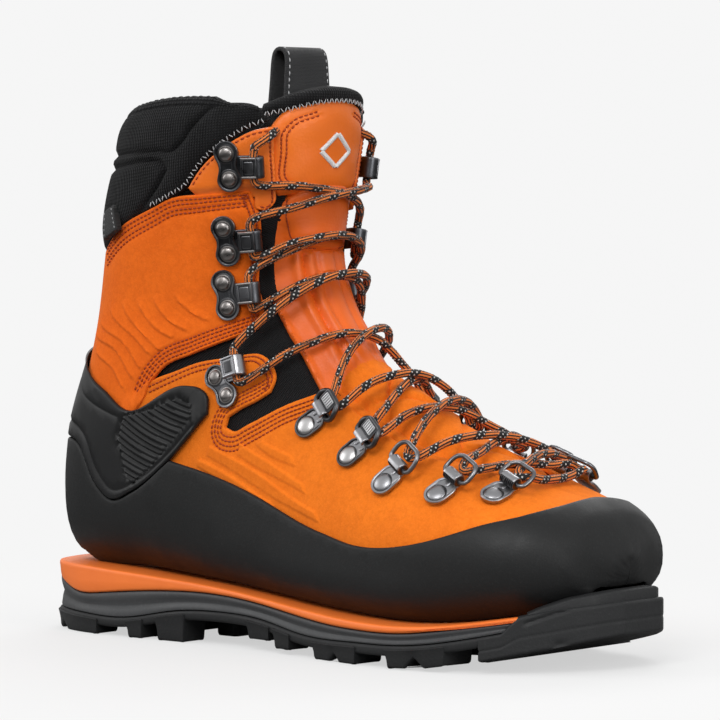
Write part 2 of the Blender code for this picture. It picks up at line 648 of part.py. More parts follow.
# ------------------------------------------------------------------ plain solids
def prism(outline, low, high, axes=(0, 1, 2)):
    """A polygon in the first two axes, extruded along the third."""
    count = len(outline)
    verts = np.zeros((2 * count, 3))
    verts[:, axes[:2]] = list(outline) * 2
    verts[:count, axes[2]] = low
    verts[count:, axes[2]] = high
    faces = [tuple(range(count)), tuple(range(2 * count - 1, count - 1, -1))]
    faces += [(i, (i + 1) % count, count + (i + 1) % count, count + i) for i in range(count)]
    return verts, faces


def strip(path, half_width, thick):
    """A bent strip: a centre line in X and Z given a thickness, its width along Y."""
    path = np.asarray(path, float)
    tangent = np.gradient(path, axis=0)
    tangent /= np.linalg.norm(tangent, axis=1, keepdims=True)
    reach = np.stack([-tangent[:, 1], tangent[:, 0]], 1) * thick / 2
    outline = np.concatenate([path + reach, (path - reach)[::-1]])
    return prism(outline, -half_width, half_width, (0, 2, 1))


def arc(x, y, radius, start, end):
    """Five points of an arc, between two angles in degrees."""
    return [(x + radius * math.cos(math.radians(angle)), y + radius * math.sin(math.radians(angle)))
            for angle in np.linspace(start, end, 5)]


def rivet(x, y, z, radius, count=8):
    """A domed rivet head."""
    verts = [(x + ring * math.cos(2 * math.pi * k / count),
              y + ring * math.sin(2 * math.pi * k / count), ring_z)
             for ring, ring_z in ((radius, z - 0.6), (radius * 0.66, z + 1.3))
             for k in range(count)]
    faces = [tuple(range(count))[::-1], tuple(range(count, 2 * count))]
    faces += [(k, (k + 1) % count, count + (k + 1) % count, count + k) for k in range(count)]
    return verts, faces


def union(name, shapes, material):
    """A mesh of several closed shapes joined into one body."""
    parts = []
    for k, (verts, faces) in enumerate(shapes):
        parts.append(bpy.data.objects.new("%s_part%d" % (name, k), make_mesh(name, verts, faces)))
        link(parts[-1])
    for other in parts[1:]:
        modifier = parts[0].modifiers.new("join", "BOOLEAN")
        modifier.operation = "UNION"
        modifier.solver = "EXACT"
        modifier.object = other
    bpy.context.view_layer.update()
    graph = bpy.context.evaluated_depsgraph_get()
    mesh = bpy.data.meshes.new_from_object(parts[0].evaluated_get(graph))
    mesh.name = name
    mesh.materials.clear()
    for part in parts:
        bpy.data.objects.remove(part, do_unlink=True)
    bm = bmesh.new()
    bm.from_mesh(mesh)
    bmesh.ops.dissolve_limit(bm, angle_limit=math.radians(1), verts=bm.verts, edges=bm.edges)
    bmesh.ops.triangulate(bm, faces=[f for f in bm.faces if len(f.verts) > 4])
    bm.to_mesh(mesh)
    bm.free()
    shade(mesh)
    mesh.materials.append(MATERIALS[material])
    return mesh


def slab(cuts, low, high, lateral, medial):
    """A layer between two height rules and two side rules, cut across X."""
    verts, faces = [], []
    for x in cuts:
        for y in (lateral(x), medial(x)):
            verts += [(x, y, low(x)), (x, y, high(x))]
    for i in range(len(cuts) - 1):
        a, b = 4 * i, 4 * i + 4
        faces += [(a, a + 2, b + 2, b), (a + 1, b + 1, b + 3, a + 3),
                  (a, b, b + 1, a + 1), (a + 2, a + 3, b + 3, b + 2)]
    end = 4 * (len(cuts) - 1)
    faces += [(0, 1, 3, 2), (end, end + 2, end + 3, end + 1)]
    return verts, faces


# ------------------------------------------------------------------ midsole
SOLE_CUTS = [-150, -147, -143.5, -140, -135, -128, -124, -110, -95, -80, -65, -50, -35, -20, -5,
             10, 25, 40, 52, 62, 75, 85, 94, 102, 109, 116]
MIDSOLE_FRONT = 119.6
LAYER_GAP = 0.35        # between a midsole layer and the one below it


def lateral_edge(x):
    return float(np.interp(x, SOLE_OUTLINE[:, 0], SOLE_OUTLINE[:, 1]))


def medial_edge(x):
    return float(np.interp(x, SOLE_OUTLINE[:, 0], SOLE_OUTLINE[:, 2]))


for name, below, top, material in (("midsole_wedge", Z_FRAME, Z_WEDGE, "wedge_foam"),
                                   ("midsole_frame", Z_RUBBER, Z_FRAME, "frame_tpu")):
    add(name, *slab(SOLE_CUTS + [MIDSOLE_FRONT],
                    lambda x: float(smooth(below, x)) + LAYER_GAP,
                    lambda x: float(smooth(top, x)), lateral_edge, medial_edge), material)

# ------------------------------------------------------------------ outsole
PLATE_THICK = 4.2
PLATE_FRONT = 104       # from here to the toe the plate reaches down to the tread
PLATE_CUTS = sorted(SOLE_CUTS + [103.0, 104.2, 119.9, 120.3, 127, 136, 141])
LUG_SINK = 1.6          # how far a tread block's top is below the plate's top
EDGE_OVERLAP = 0.5      # how far a side block's outer face is in from the sole's edge
# x from, x to, depth in from the edge, lift off the tread line
SIDE_LUGS = [(-149.6, -110, 15, 0), (-93, -83, 13, 0), (-76, -59, 15, 0), (-23, -8, 12, 4.6),
             (-6, 5, 13, 2.0), (19, 46.5, 17, 0), (62.5, 90.5, 18, 0)]
# x from, x to, y from, y to, lift off the tread line
MIDDLE_LUGS = [(-134, -112, -12, 12, 0), (-100, -84, -14, 14, 0), (-70, -56, -12, 12, 0),
               (-46, -30, -9, 9, 5.0), (0, 14, -14, 10, 1.2), (28, 42, -20, -4, 0),
               (28, 42, 2, 18, 0), (54, 68, -24, -7, 0), (54, 68, -1, 16, 0),
               (80, 94, -20, -3, 0), (80, 94, 3, 20, 0)]


def plate_top(x):
    return float(smooth(Z_RUBBER, x)) if x < WELT_X else float(linear(Z_WELT, x))


def plate_bottom(x):
    return plate_top(x) - PLATE_THICK if x < PLATE_FRONT else float(linear(Z_TREAD, x))


def lug(x0, x1, y0, y1, lift, skew=0.0):
    """One tread block; skew shifts its front end along Y."""
    verts = []
    for x, y in ((x0, y0), (x1, y0 + skew), (x1, y1 + skew), (x0, y1)):
        tread = float(linear(Z_TREAD, x))
        verts += [(x, y, tread + lift),
                  (x, y, max(float(smooth(Z_RUBBER, x)), tread + 4) - LUG_SINK)]
    faces = [(0, 2, 4, 6), (1, 7, 5, 3), (0, 1, 3, 2), (2, 3, 5, 4), (4, 5, 7, 6), (6, 7, 1, 0)]
    return verts, faces


def add_outsole():
    shapes = [slab(PLATE_CUTS, plate_bottom, plate_top, lateral_edge, medial_edge)]
    for x0, x1, depth, lift in SIDE_LUGS:
        for edge, inward in ((lateral_edge, 1), (medial_edge, -1)):
            y0, y1 = (edge(x) + inward * EDGE_OVERLAP for x in (x0, x1))
            shapes.append(lug(x0, x1, y0, y0 + inward * depth, lift, y1 - y0))
    shapes += [lug(*block) for block in MIDDLE_LUGS]
    outsole = bpy.data.objects.new("outsole", union("outsole", shapes, "outsole_rubber"))
    outsole.location = -Vector(ORIGIN) * MM
    link(outsole)


add_outsole()

# ------------------------------------------------------------------ boards under the foot
SOLE_STATIONS = STATION_TABLE[1:13][::-1]       # heel to toe
FLAT_SHARE = 0.74                               # flat part of the last's half width
BOARD_X = SOLE_STATIONS[:, 2]
BOARD_LATERAL = SOLE_STATIONS[:, 4] - FLAT_SHARE * SOLE_STATIONS[:, 5]
BOARD_MEDIAL = SOLE_STATIONS[:, 4] + FLAT_SHARE * SOLE_STATIONS[:, 6]
BOTTOM_LINE = last_point(np.linspace(12.2, 1, 90), np.full(90, .5))
SHANK_HALF_WIDTH = 11.0


def above_bottom(height):
    """A height rule that follows the last's bottom line."""
    return lambda x: float(np.interp(x, BOTTOM_LINE[:, 0], BOTTOM_LINE[:, 2])) + height


def add_board(name, x0, x1, bottom, top, width_share, material):
    """A foot-shaped board with rounded heel and toe."""
    def rounding(x):
        return (math.sqrt(max(0.0, 1 - max(0.0, (x0 + 30 - x) / 36) ** 2))
                * math.sqrt(max(0.0, 1 - max(0.0, (x - x1 + 34) / 42) ** 2)))

    def edge(table):
        return lambda x: float(np.interp(x, BOARD_X, table)) * width_share * rounding(x)

    add(name, *slab(np.linspace(x0, x1, 12), above_bottom(bottom), above_bottom(top),
                    edge(BOARD_LATERAL), edge(BOARD_MEDIAL)), material)


add_board("lasting_board", -112, 104, bottom=2.7, top=4.1, width_share=0.72,
          material="last_board")
add_board("footbed", -108, 98, bottom=8.3, top=11.2, width_share=0.64,
          material="footbed_foam")
add("shank", *slab(np.linspace(-112, 52, 9), above_bottom(-0.9), above_bottom(0.7),
                   lambda x: -SHANK_HALF_WIDTH, lambda x: SHANK_HALF_WIDTH), "shank_plate")

# ------------------------------------------------------------------ lacing hardware
# Local frame of each piece: X to the throat, Y along the row, Z out of the leather.
PLATE = 1.1             # base plate thickness
PLATE_LIFT = 0.95       # plate underside above the leather
PLATE_TOP = PLATE_LIFT + PLATE
PLATE_MID = PLATE_LIFT + PLATE / 2
HOOK_BEND = 3.1         # radius of a hook's bend
HOOK_RIVET_Y = 6.3
CLIP_BEND = 2.4
RING_BAR = (8.6, PLATE_MID + CLIP_BEND)     # x, z of the ring's inner bar in the clip's fold


def riveted(name, ends, plate_radius, path, half_width, thick, rivets, rivet_radius, material):
    """A round-ended plate about two centres, with a bent strip and rivets on it."""
    (x0, y0), (x1, y1) = ends
    angle = math.degrees(math.atan2(y1 - y0, x1 - x0))
    outline = (arc(x1, y1, plate_radius, angle - 90, angle + 90)
               + arc(x0, y0, plate_radius, angle + 90, angle + 270))
    shapes = [prism(outline, PLATE_LIFT, PLATE_TOP), strip(path, half_width, thick)]
    shapes += [rivet(x, y, PLATE_TOP, rivet_radius) for x, y in rivets]
    return union(name, shapes, material)


def hook(name, rivets, plate_radius, foot_xs, bend_x, tip_xs):
    """A lace hook: its strip runs along the plate, bends up and returns over it."""
    path = ([(x, PLATE_MID) for x in foot_xs]
            + arc(bend_x, PLATE_MID + HOOK_BEND, HOOK_BEND, -75, 90)
            + [(x, PLATE_MID + 2 * HOOK_BEND) for x in tip_xs])
    return riveted(name, rivets, plate_radius, path, half_width=4.4, thick=PLATE,
                   rivets=rivets, rivet_radius=3.9, material="hook_gunmetal")


def ankle_hook(side):
    return hook("ankle_hook_" + SIDES[side][0], [(0, 0), (4.6, -9.6 * side)], 5.2,
                foot_xs=(2.0, 8.0, 12.6), bend_x=13.0, tip_xs=(9.6, 7.0))


def ring_clip():
    """A clip folded round the inner bar of a ring."""
    path = ([(x, PLATE_MID) for x in (1.0, 5.0, 7.8)]
            + arc(*RING_BAR, CLIP_BEND, -70, 120))
    return riveted("ring_clip", [(-0.5, 0), (3.0, 0)], 5.0, path, half_width=3.9, thick=1.0,
                   rivets=[(-0.5, 0)], rivet_radius=3.7, material="clip_steel")


def wire_ring(name, reach, half, rise, radius, material):
    """A D-shaped wire ring about its inner bar, which lies on the local Y axis."""
    path = np.array([
        (0, -half + 1.6, 0), (0, half - 1.6, 0), (0.9, half - 0.3, 0.1 * rise),
        (2.4, half, 0.25 * rise), (reach - 3, half - 0.3, 0.8 * rise),
        (reach - 0.8, half - 1.8, rise), (reach, half - 3.6, rise),
        (reach, -half + 3.6, rise), (reach - 0.8, -half + 1.8, rise),
        (reach - 3, -half + 0.3, 0.8 * rise), (2.4, -half, 0.25 * rise),
        (0.9, -half + 0.3, 0.1 * rise)], float)
    count, corners = len(path), 4
    tangents = np.roll(path, -1, 0) - np.roll(path, 1, 0)
    tangents /= np.linalg.norm(tangents, axis=1, keepdims=True)
    verts, faces = [], []
    for k, (point, tangent) in enumerate(zip(path, tangents)):
        across = np.cross(tangent, [0.0, 0.0, 1.0])
        across /= np.linalg.norm(across)
        upward = np.cross(across, tangent)
        for s in range(corners):
            angle = 2 * math.pi * (s + .5) / corners
            verts.append(point + radius * (across * math.cos(angle) + upward * math.sin(angle)))
            here, beyond = k * corners, (k + 1) % count * corners
            faces.append((here + s, beyond + s, beyond + (s + 1) % corners,
                          here + (s + 1) % corners))
    mesh = make_mesh(name, verts, faces)
    mesh.materials.append(MATERIALS[material])
    return mesh


def frame_at(along, around, turn):
    """Point and local axes on the last: to the throat, along the row, out."""
    side = LATERAL if around > 0 else MEDIAL

    def point(shift):
        return last_point(np.array([along]), np.array([around + shift]))[0]

    out = last_normal(np.array([along]), np.array([around]))[0]
    inward = point(-side * .004) - point(side * .004)
    inward -= out * (inward @ out)
    inward /= np.linalg.norm(inward)
    row = np.cross(out, inward)
    cosine, sine = math.cos(turn * side), math.sin(turn * side)
    return point(0.0), inward * cosine + row * sine, row * cosine - inward * sine, out


# along, lateral around, turn in radians; each list runs from the collar to the toe
HOOKS = [(17.06, .152, -0.16), (15.02, .143, -0.33), (13.45, .130, -0.46)]
ANKLE = (11.46, .163, -0.44)
LINKS = [(8.66, .152, -0.50), (7.46, .158, -0.55)]
RINGS = [(6.51, .170, -0.50), (5.41, .156, -0.38), (4.38, .126, -0.20)]

HOOK_MESH = hook("lace_hook", [(0, -HOOK_RIVET_Y), (0, HOOK_RIVET_Y)], 5.4,
                 foot_xs=(2.0, 7.6, 12.2), bend_x=12.6, tip_xs=(9.5, 7.4))
ANKLE_MESHES = {side: ankle_hook(side) for side in SIDES}
CLIP_MESH = ring_clip()
RING_MESH = wire_ring("d_ring", reach=9.0, half=6.6, rise=2.0, radius=0.95,
                      material="ring_steel")
LINK_MESH = wire_ring("lace_link", reach=7.6, half=6.4, rise=2.0, radius=1.15,
                      material="link_dark")

FRAMES = {}             # (kind, row, side): frame
for side, side_name in SIDES.items():
    for k, (along, around, turn) in enumerate(HOOKS):
        frame = FRAMES["hook", k, side] = frame_at(along, side * around, turn)
        place("lace_hook_%s_%d" % (side_name, k + 1), HOOK_MESH, frame, "cuff_axis")
    along, around, turn = ANKLE
    frame = FRAMES["ankle", 0, side] = frame_at(along, side * around, turn)
    place("ankle_hook_" + side_name, ANKLE_MESHES[side], frame)
    for kind, rows, ring_name, ring_mesh in (("link", LINKS, "lace_link", LINK_MESH),
                                             ("ring", RINGS, "d_ring", RING_MESH)):
        for k, (along, around, turn) in enumerate(rows):
            frame = FRAMES[kind, k, side] = frame_at(along, side * around, turn)
            label = "%s_%d" % (side_name, k + 1)
            joint = "%s_axis_%s" % (kind, label)
            place("%s_clip_%s" % (kind, label), CLIP_MESH, frame)
            bar = frame[0] + frame[1] * RING_BAR[0] + frame[3] * RING_BAR[1]
            add_joint(joint, bar)
            place("%s_%s" % (ring_name, label), ring_mesh, (bar, *frame[1:]), joint)

# ------------------------------------------------------------------ laces
LACE_RADIUS = 1.55
UNDER, OVER = 2.6, 6.4  # height over the last of the lower and upper crossing strands
RUN_STEPS = 5           # pieces of a free run between two eyelets
# kind of eyelet: local x, z where the lace runs through
LACE_SEAT = {"hook": (12.2, PLATE_MID + 3.0), "ankle": (12.6, PLATE_MID + 3.0),
             "link": (13.2, PLATE_MID + 1.6), "ring": (14.2, PLATE_MID + 1.6)}
# x, y, z from the seat, from the eyelet's upper side to its lower side
HOOK_PASS = [(.3, 8.2, -.1), (-.5, 3.4, 0), (-.5, -3.0, 0), (.1, -6.8, -.1)]
RING_PASS = [(2.5, 3.2, 0), (-.2, 1.0, 0), (-.2, -1.0, 0), (2.5, -3.2, 0)]
# the part of the last the laces cross, as a fine net for finding nearest points
NET_ALONG, NET_AROUND = np.meshgrid(np.linspace(3.6, 18.6, 241), np.linspace(-.2, .2, 121),
                                    indexing="ij")
NET_POINTS = last_point(NET_ALONG, NET_AROUND)


def pass_points(key):
    """Where the lace runs through one eyelet; y points up the row on both sides."""
    kind, _, side = key
    origin, inward, row, out = FRAMES[key]
    seat_x, seat_z = LACE_SEAT[kind]
    return [origin + inward * (seat_x + x) + row * y * side + out * (seat_z + z)
            for x, y, z in (HOOK_PASS if kind in ("hook", "ankle") else RING_PASS)]


def nearest_on_last(point):
    """The net's nearest along and around, and the point's height above them."""
    k = np.unravel_index(np.linalg.norm(NET_POINTS - point, axis=2).argmin(), NET_ALONG.shape)
    height = float((point - NET_POINTS[k]) @ last_normal(NET_ALONG[k], NET_AROUND[k]))
    return np.array([NET_ALONG[k], NET_AROUND[k], height])


def free_run(start, end, middle_height):
    """The lace between two eyelets, laid over the last, its middle at a set height."""
    first, final = nearest_on_last(start), nearest_on_last(end)
    points = []
    for k in range(1, RUN_STEPS):
        share = k / RUN_STEPS
        along, around, height = first + (final - first) * share
        height += (middle_height - height) * math.sin(math.pi * share) ** .6
        points.append(offset_point(along, around, height))
    return points


def gap(start, end):
    return np.linalg.norm(start - end)


def lace_path(stops, heights):
    """Through all stops, each entered at its nearer end; heights has one per free run."""
    path = pass_points(stops[0])
    second = pass_points(stops[1])[1]
    if gap(path[0], second) < gap(path[-1], second):
        path = path[::-1]
    for stop, height in zip(stops[1:], heights):
        points = pass_points(stop)
        if gap(points[0], path[-1]) > gap(points[-1], path[-1]):
            points = points[::-1]
        path += free_run(path[-1], points[0], height) + points
    return path


def add_lace(name, stops, heights, joint=None):
    """A square-sectioned cord along a lace path, closed at its two ends."""
    path = np.asarray(lace_path(stops, heights), float)
    count, corners = len(path), 4
    tangents = np.gradient(path, axis=0)
    tangents /= np.linalg.norm(tangents, axis=1, keepdims=True)
    across = np.cross(tangents[0], [0.3, 0.2, 1.0])
    across /= np.linalg.norm(across)
    verts = []
    for point, tangent in zip(path, tangents):
        across = across - tangent * (across @ tangent)
        across /= np.linalg.norm(across)
        upward = np.cross(tangent, across)
        for s in range(corners):
            angle = 2 * math.pi * s / corners
            verts.append(point + LACE_RADIUS * (across * math.cos(angle)
                                                + upward * math.sin(angle)))
    faces = []
    for k in range(0, (count - 1) * corners, corners):
        for s in range(corners):
            a, b = k + s, k + (s + 1) % corners
            faces.append((a, b, b + corners, a + corners))
    faces += [tuple(range(corners))[::-1],
              tuple(range((count - 1) * corners, count * corners))]
    add(name, verts, faces, "lace_cord", joint, sharp=60)


# down from the lateral ankle hook to the last rings, across, and back up
LOWER_STOPS = [
    ("ankle", 0, LATERAL), ("link", 0, MEDIAL), ("link", 1, LATERAL), ("ring", 0, MEDIAL),
    ("ring", 1, LATERAL), ("ring", 2, MEDIAL), ("ring", 2, LATERAL), ("ring", 1, MEDIAL),
    ("ring", 0, LATERAL), ("link", 1, MEDIAL), ("link", 0, LATERAL), ("ankle", 0, MEDIAL)]
add_lace("lace_lower", LOWER_STOPS, [UNDER] * 6 + [OVER] * 5)
for name, side, height in (("lace_upper_a", LATERAL, UNDER), ("lace_upper_b", MEDIAL, OVER)):
    add_lace(name, [("hook", 0, side), ("hook", 1, -side), ("hook", 2, side)], [height] * 2,
             "cuff_axis")
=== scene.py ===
"""Mountaineering boot, right foot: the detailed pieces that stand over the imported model.

Tables are in millimetres in the part's own axes: +X to the toe, +Y medial, +Z up; ORIGIN is
the frame's origin in them.  Every soft piece is a panel of one lofted last.  A place on the
last is (u, v): u counts stations, from the toe tip (0) to the cuff (20), and v is the share
of the girth, from the throat (0) down the lateral side to the bottom or back (.5) and up the
medial side (to 1; v below 0 is the medial side too).  Outlines are drawn on the unrolled
last, "the plane", whose axes are millimetres along it and millimetres round it.
"""

import math

import bmesh
import bpy
import numpy as np
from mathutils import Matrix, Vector
from mathutils.geometry import delaunay_2d_cdt
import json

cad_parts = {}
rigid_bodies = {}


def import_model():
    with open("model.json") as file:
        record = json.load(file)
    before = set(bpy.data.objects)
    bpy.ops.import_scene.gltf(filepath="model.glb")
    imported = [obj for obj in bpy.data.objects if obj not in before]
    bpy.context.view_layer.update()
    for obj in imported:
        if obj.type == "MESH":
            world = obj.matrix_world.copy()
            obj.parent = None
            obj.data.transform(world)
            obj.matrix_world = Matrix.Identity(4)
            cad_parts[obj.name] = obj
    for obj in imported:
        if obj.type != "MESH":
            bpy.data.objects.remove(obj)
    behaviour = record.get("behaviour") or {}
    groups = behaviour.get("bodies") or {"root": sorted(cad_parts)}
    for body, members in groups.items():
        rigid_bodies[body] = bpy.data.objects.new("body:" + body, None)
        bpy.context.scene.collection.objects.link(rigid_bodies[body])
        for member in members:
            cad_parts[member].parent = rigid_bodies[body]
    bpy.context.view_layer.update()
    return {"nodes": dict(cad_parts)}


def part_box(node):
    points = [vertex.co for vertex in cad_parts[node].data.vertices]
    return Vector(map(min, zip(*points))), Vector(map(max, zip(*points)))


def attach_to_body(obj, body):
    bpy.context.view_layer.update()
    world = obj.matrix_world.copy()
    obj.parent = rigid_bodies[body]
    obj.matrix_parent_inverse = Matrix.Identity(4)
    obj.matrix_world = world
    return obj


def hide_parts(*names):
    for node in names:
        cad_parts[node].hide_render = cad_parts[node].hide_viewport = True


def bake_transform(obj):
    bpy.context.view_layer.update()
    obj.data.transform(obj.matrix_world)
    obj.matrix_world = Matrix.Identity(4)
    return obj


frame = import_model()
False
SCENE = bpy.context.scene
for old in list(bpy.data.objects):
    if old.type in ("LIGHT", "CAMERA") or old.name == "Cube":
        bpy.data.objects.remove(old, do_unlink=True)

MM = 0.001
ORIGIN = (-4.5, -2.05, 2.3)
SIDES = ((1, "lateral"), (-1, "medial"))

# ------------------------------------------------------------------ the last
# throat x, z | bottom x, z | centre y | lateral, medial half width |
# height share of the widest line | roundness above, below
STATIONS = [
    (132.0, 46.0, 132.0, 42.0, 9.0, 3.0, 3.0, .50, 2.0, 2.0),
    (130.0, 53.5, 130.5, 36.5, 9.0, 20.5, 18.5, .50, 2.1, 2.3),
    (124.0, 61.0, 125.0, 31.8, 8.5, 33.0, 30.0, .46, 2.3, 2.8),
    (113.5, 67.5, 113.0, 27.6, 7.5, 43.0, 39.0, .42, 2.3, 3.4),
    (100.0, 73.5, 97.0, 24.8, 6.0, 49.0, 44.0, .39, 2.2, 4.0),
    (83.5, 81.0, 79.0, 22.8, 4.0, 52.0, 46.5, .36, 2.05, 4.5),
    (63.0, 91.0, 57.0, 22.4, 1.5, 51.5, 46.5, .33, 1.95, 5.0),
    (42.0, 103.5, 32.0, 23.8, -0.5, 48.0, 43.5, .30, 1.9, 5.0),
    (23.0, 115.0, 4.0, 26.4, -1.5, 44.0, 40.5, .30, 1.85, 5.0),
    (9.0, 125.5, -30.0, 29.6, -1.5, 41.0, 39.0, .34, 1.9, 4.6),
    (0.0, 136.0, -68.0, 32.2, -1.0, 40.0, 39.0, .42, 2.0, 4.2),
    (-6.0, 145.0, -108.0, 33.6, -0.5, 40.0, 39.5, .48, 2.0, 3.6),
    (-10.0, 154.0, -140.0, 37.0, 0.0, 40.0, 40.0, .50, 2.0, 3.0),
    (-12.5, 163.0, -147.0, 62.0, 0.0, 40.0, 40.0, .48, 2.0, 2.7),
    (-13.5, 172.0, -141.5, 97.0, 0.0, 40.0, 40.0, .46, 2.05, 2.5),
    (-13.5, 182.0, -131.5, 130.0, 0.0, 41.0, 41.0, .46, 2.1, 2.4),
    (-12.5, 193.0, -126.5, 158.0, 0.0, 42.5, 42.5, .46, 2.15, 2.35),
    (-11.5, 205.0, -121.0, 184.0, 0.0, 44.0, 44.0, .46, 2.2, 2.3),
    (-10.0, 217.0, -115.0, 206.0, 0.0, 45.0, 45.0, .46, 2.2, 2.3),
    (-8.5, 229.0, -109.0, 224.0, 0.0, 45.5, 45.5, .46, 2.2, 2.3),
    (-7.5, 241.0, -104.0, 240.0, 0.0, 46.0, 46.0, .46, 2.2, 2.3),
]
LAST_U = len(STATIONS) - 1
ROUND = 128                 # grid points round the last
ALONG = LAST_U * 12 + 1     # grid rows along it


def natural_spline(knots, values, where):
    """Natural cubic spline through (knots, values), at where."""
    knots, values = np.asarray(knots, float), np.asarray(values, float)
    count = len(knots)
    gap = np.diff(knots)
    matrix = np.zeros((count, count))
    right = np.zeros(values.shape)
    matrix[0, 0] = matrix[-1, -1] = 1
    for i in range(1, count - 1):
        matrix[i, i - 1:i + 2] = gap[i - 1], 2 * (gap[i - 1] + gap[i]), gap[i]
        right[i] = 6 * ((values[i + 1] - values[i]) / gap[i]
                        - (values[i] - values[i - 1]) / gap[i - 1])
    second = np.linalg.solve(matrix, right.reshape(count, -1)).reshape(right.shape)
    where = np.asarray(where, float)
    k = np.clip(np.searchsorted(knots, where) - 1, 0, count - 2)
    width = gap[k]
    near, far = (knots[k + 1] - where) / width, (where - knots[k]) / width
    wide = (slice(None),) + (None,) * (values.ndim - 1)
    return near[wide] * values[k] + far[wide] * values[k + 1] + (
        (near**3 - near)[wide] * second[k] + (far**3 - far)[wide] * second[k + 1]
    ) * (width**2)[wide] / 6


def run_along(points, power=1):
    """Running length at each point, with each gap raised to a power."""
    gaps = np.linalg.norm(np.diff(points, axis=0), axis=1) ** power
    return np.concatenate([[0], np.cumsum(gaps)])


def unit(vectors, tiny=1e-9):
    return vectors / (np.linalg.norm(vectors, axis=-1, keepdims=True) + tiny)


def square_to(vectors, axis):
    """Unit vectors made square to an axis."""
    return unit(vectors - axis * (vectors * axis).sum(-1, keepdims=True))


def section(row):
    """ROUND points round one station, evenly spaced, from the throat down the lateral side."""
    top_x, top_z, low_x, low_z, mid_y, lateral, medial, widest, above, below = row
    angle = np.linspace(0, math.pi, 721)
    cosine, sine = np.cos(angle), np.abs(np.sin(angle))
    power = 2 / np.where(cosine >= 0, above, below)
    reach = np.abs(cosine) ** power
    rise = np.where(cosine >= 0, widest + (1 - widest) * reach, widest - widest * reach)
    halves = []
    for side, width in ((-1, lateral), (1, medial)):
        points = np.stack([low_x + rise * (top_x - low_x), mid_y + side * width * sine ** power,
                           low_z + rise * (top_z - low_z)], 1)
        run = run_along(points)
        run /= run[-1]
        share = np.linspace(0, 1, ROUND // 2 + 1)
        halves.append(np.stack([np.interp(share, run, points[:, k]) for k in range(3)], 1))
    return np.concatenate([halves[0][:-1], halves[1][::-1][:-1]])


def station_lengths():
    """Length along the last at each station: the mean of throat and bottom, 4 mm or more."""
    table = np.array(STATIONS)
    gaps = 0.5 * (np.linalg.norm(np.diff(table[:, 0:2], axis=0), axis=1)
                  + np.linalg.norm(np.diff(table[:, 2:4], axis=0), axis=1))
    return np.concatenate([[0], np.cumsum(np.maximum(gaps, 4))])


LENGTHS = station_lengths()


def length_at(u):
    return np.interp(u, np.arange(LAST_U + 1), LENGTHS)


GRID_U = np.linspace(0, LAST_U, ALONG)
GRID = natural_spline(LENGTHS, np.stack([section(row) for row in STATIONS]), length_at(GRID_U))
GIRTHS = np.linalg.norm(GRID - np.roll(GRID, 1, axis=1), axis=2).sum(axis=1)


def girth(u):
    return np.interp(u, GRID_U, GIRTHS)


def catmull_rom(before, start, end, after, t):
    return 0.5 * ((2 * start) + (-before + end) * t
                  + (2 * before - 5 * start + 4 * end - after) * t * t
                  + (-before + 3 * start - 3 * end + after) * t**3)


def base(u, v):
    """The last's surface at (u, v)."""
    u, v = np.asarray(u, float), np.asarray(v, float)
    along = np.clip(u / LAST_U * (ALONG - 1), 0, ALONG - 1 - 1e-9)
    i = np.floor(along).astype(int)
    around = (v % 1.0) * ROUND
    j = np.floor(around).astype(int) % ROUND
    share = (around - np.floor(around))[..., None]

    def row(k):
        k = np.clip(k, 0, ALONG - 1)
        return catmull_rom(GRID[k, (j - 1) % ROUND], GRID[k, j], GRID[k, (j + 1) % ROUND],
                           GRID[k, (j + 2) % ROUND], share)

    return catmull_rom(row(i - 1), row(i), row(i + 1), row(i + 2), (along - i)[..., None])


TIP_NORMAL = np.array([0.995, 0.0, 0.1])


def normal(u, v):
    u, v = np.asarray(u, float), np.asarray(v, float)
    step_u, step_v = 0.02, 0.002
    inner = np.maximum(u, 0.12)
    along = base(np.minimum(inner + step_u, LAST_U), v) - base(inner - step_u, v)
    around = base(inner, v + step_v) - base(inner, v - step_v)
    tip = np.clip(1 - u / 0.6, 0, 1)[..., None]
    return unit(unit(np.cross(along, around), 1e-12) * (1 - tip) + TIP_NORMAL * tip, 0)


def at(u, v, off=0.0):
    """A point off millimetres out from the last."""
    return base(u, v) + normal(u, v) * np.asarray(off, float)[..., None]


# ------------------------------------------------------------------ the sole's tables
# outline (x, y), lateral and medial; the toe and heel ends are flat facets
LATERAL_EDGE = [(-150, -16), (-147, -24), (-140, -31), (-128, -37), (-110, -40.5), (-80, -41),
                (-50, -41), (-20, -43.5), (10, -49), (40, -55), (62, -57.5), (85, -56),
                (102, -50.5), (116, -41.5), (127, -31), (136, -18), (141, -4)]
MEDIAL_EDGE = [(-150, 16), (-147, 24), (-140, 31), (-128, 37), (-110, 40.5), (-80, 40),
               (-50, 37.5), (-20, 38), (10, 42), (40, 47.5), (62, 51), (85, 52.5), (102, 50),
               (116, 44.5), (127, 37), (136, 28), (141, 20)]
# (x, z) of each layer's edge: the ground face, then the tops of rubber, frame, wedge and welt
Z_TREAD = [(-150, 2.3), (60, 2.3), (80, 3.2), (104, 7.0), (128, 12.6), (141, 16.4)]
Z_RUBBER = [(-150, 11.6), (-120, 10.6), (-93, 10.5), (-68, 14.6), (-42, 16.2), (-14, 14.9),
            (11, 11.2), (43, 10.8), (71, 11.6), (97, 15.2), (112, 18.4), (120, 20.4)]
Z_FRAME = [(-150, 25.0), (-143, 24.2), (-138, 23.0), (-124, 19.4), (-110, 19.8), (-79, 22.6),
           (-39, 23.2), (-8, 20.4), (24, 16.9), (49, 15.9), (71, 16.4), (93, 19.3),
           (117, 22.8), (120, 23.2)]
Z_WEDGE = [(-150, 31.6), (-118, 31.0), (-79, 29.0), (-33, 25.8), (5, 22.2), (43, 19.6),
           (65, 19.2), (93, 21.0), (117, 24.6), (120, 25.1)]
Z_WELT = [(120, 25.1), (130, 29.3), (141, 33.4)]


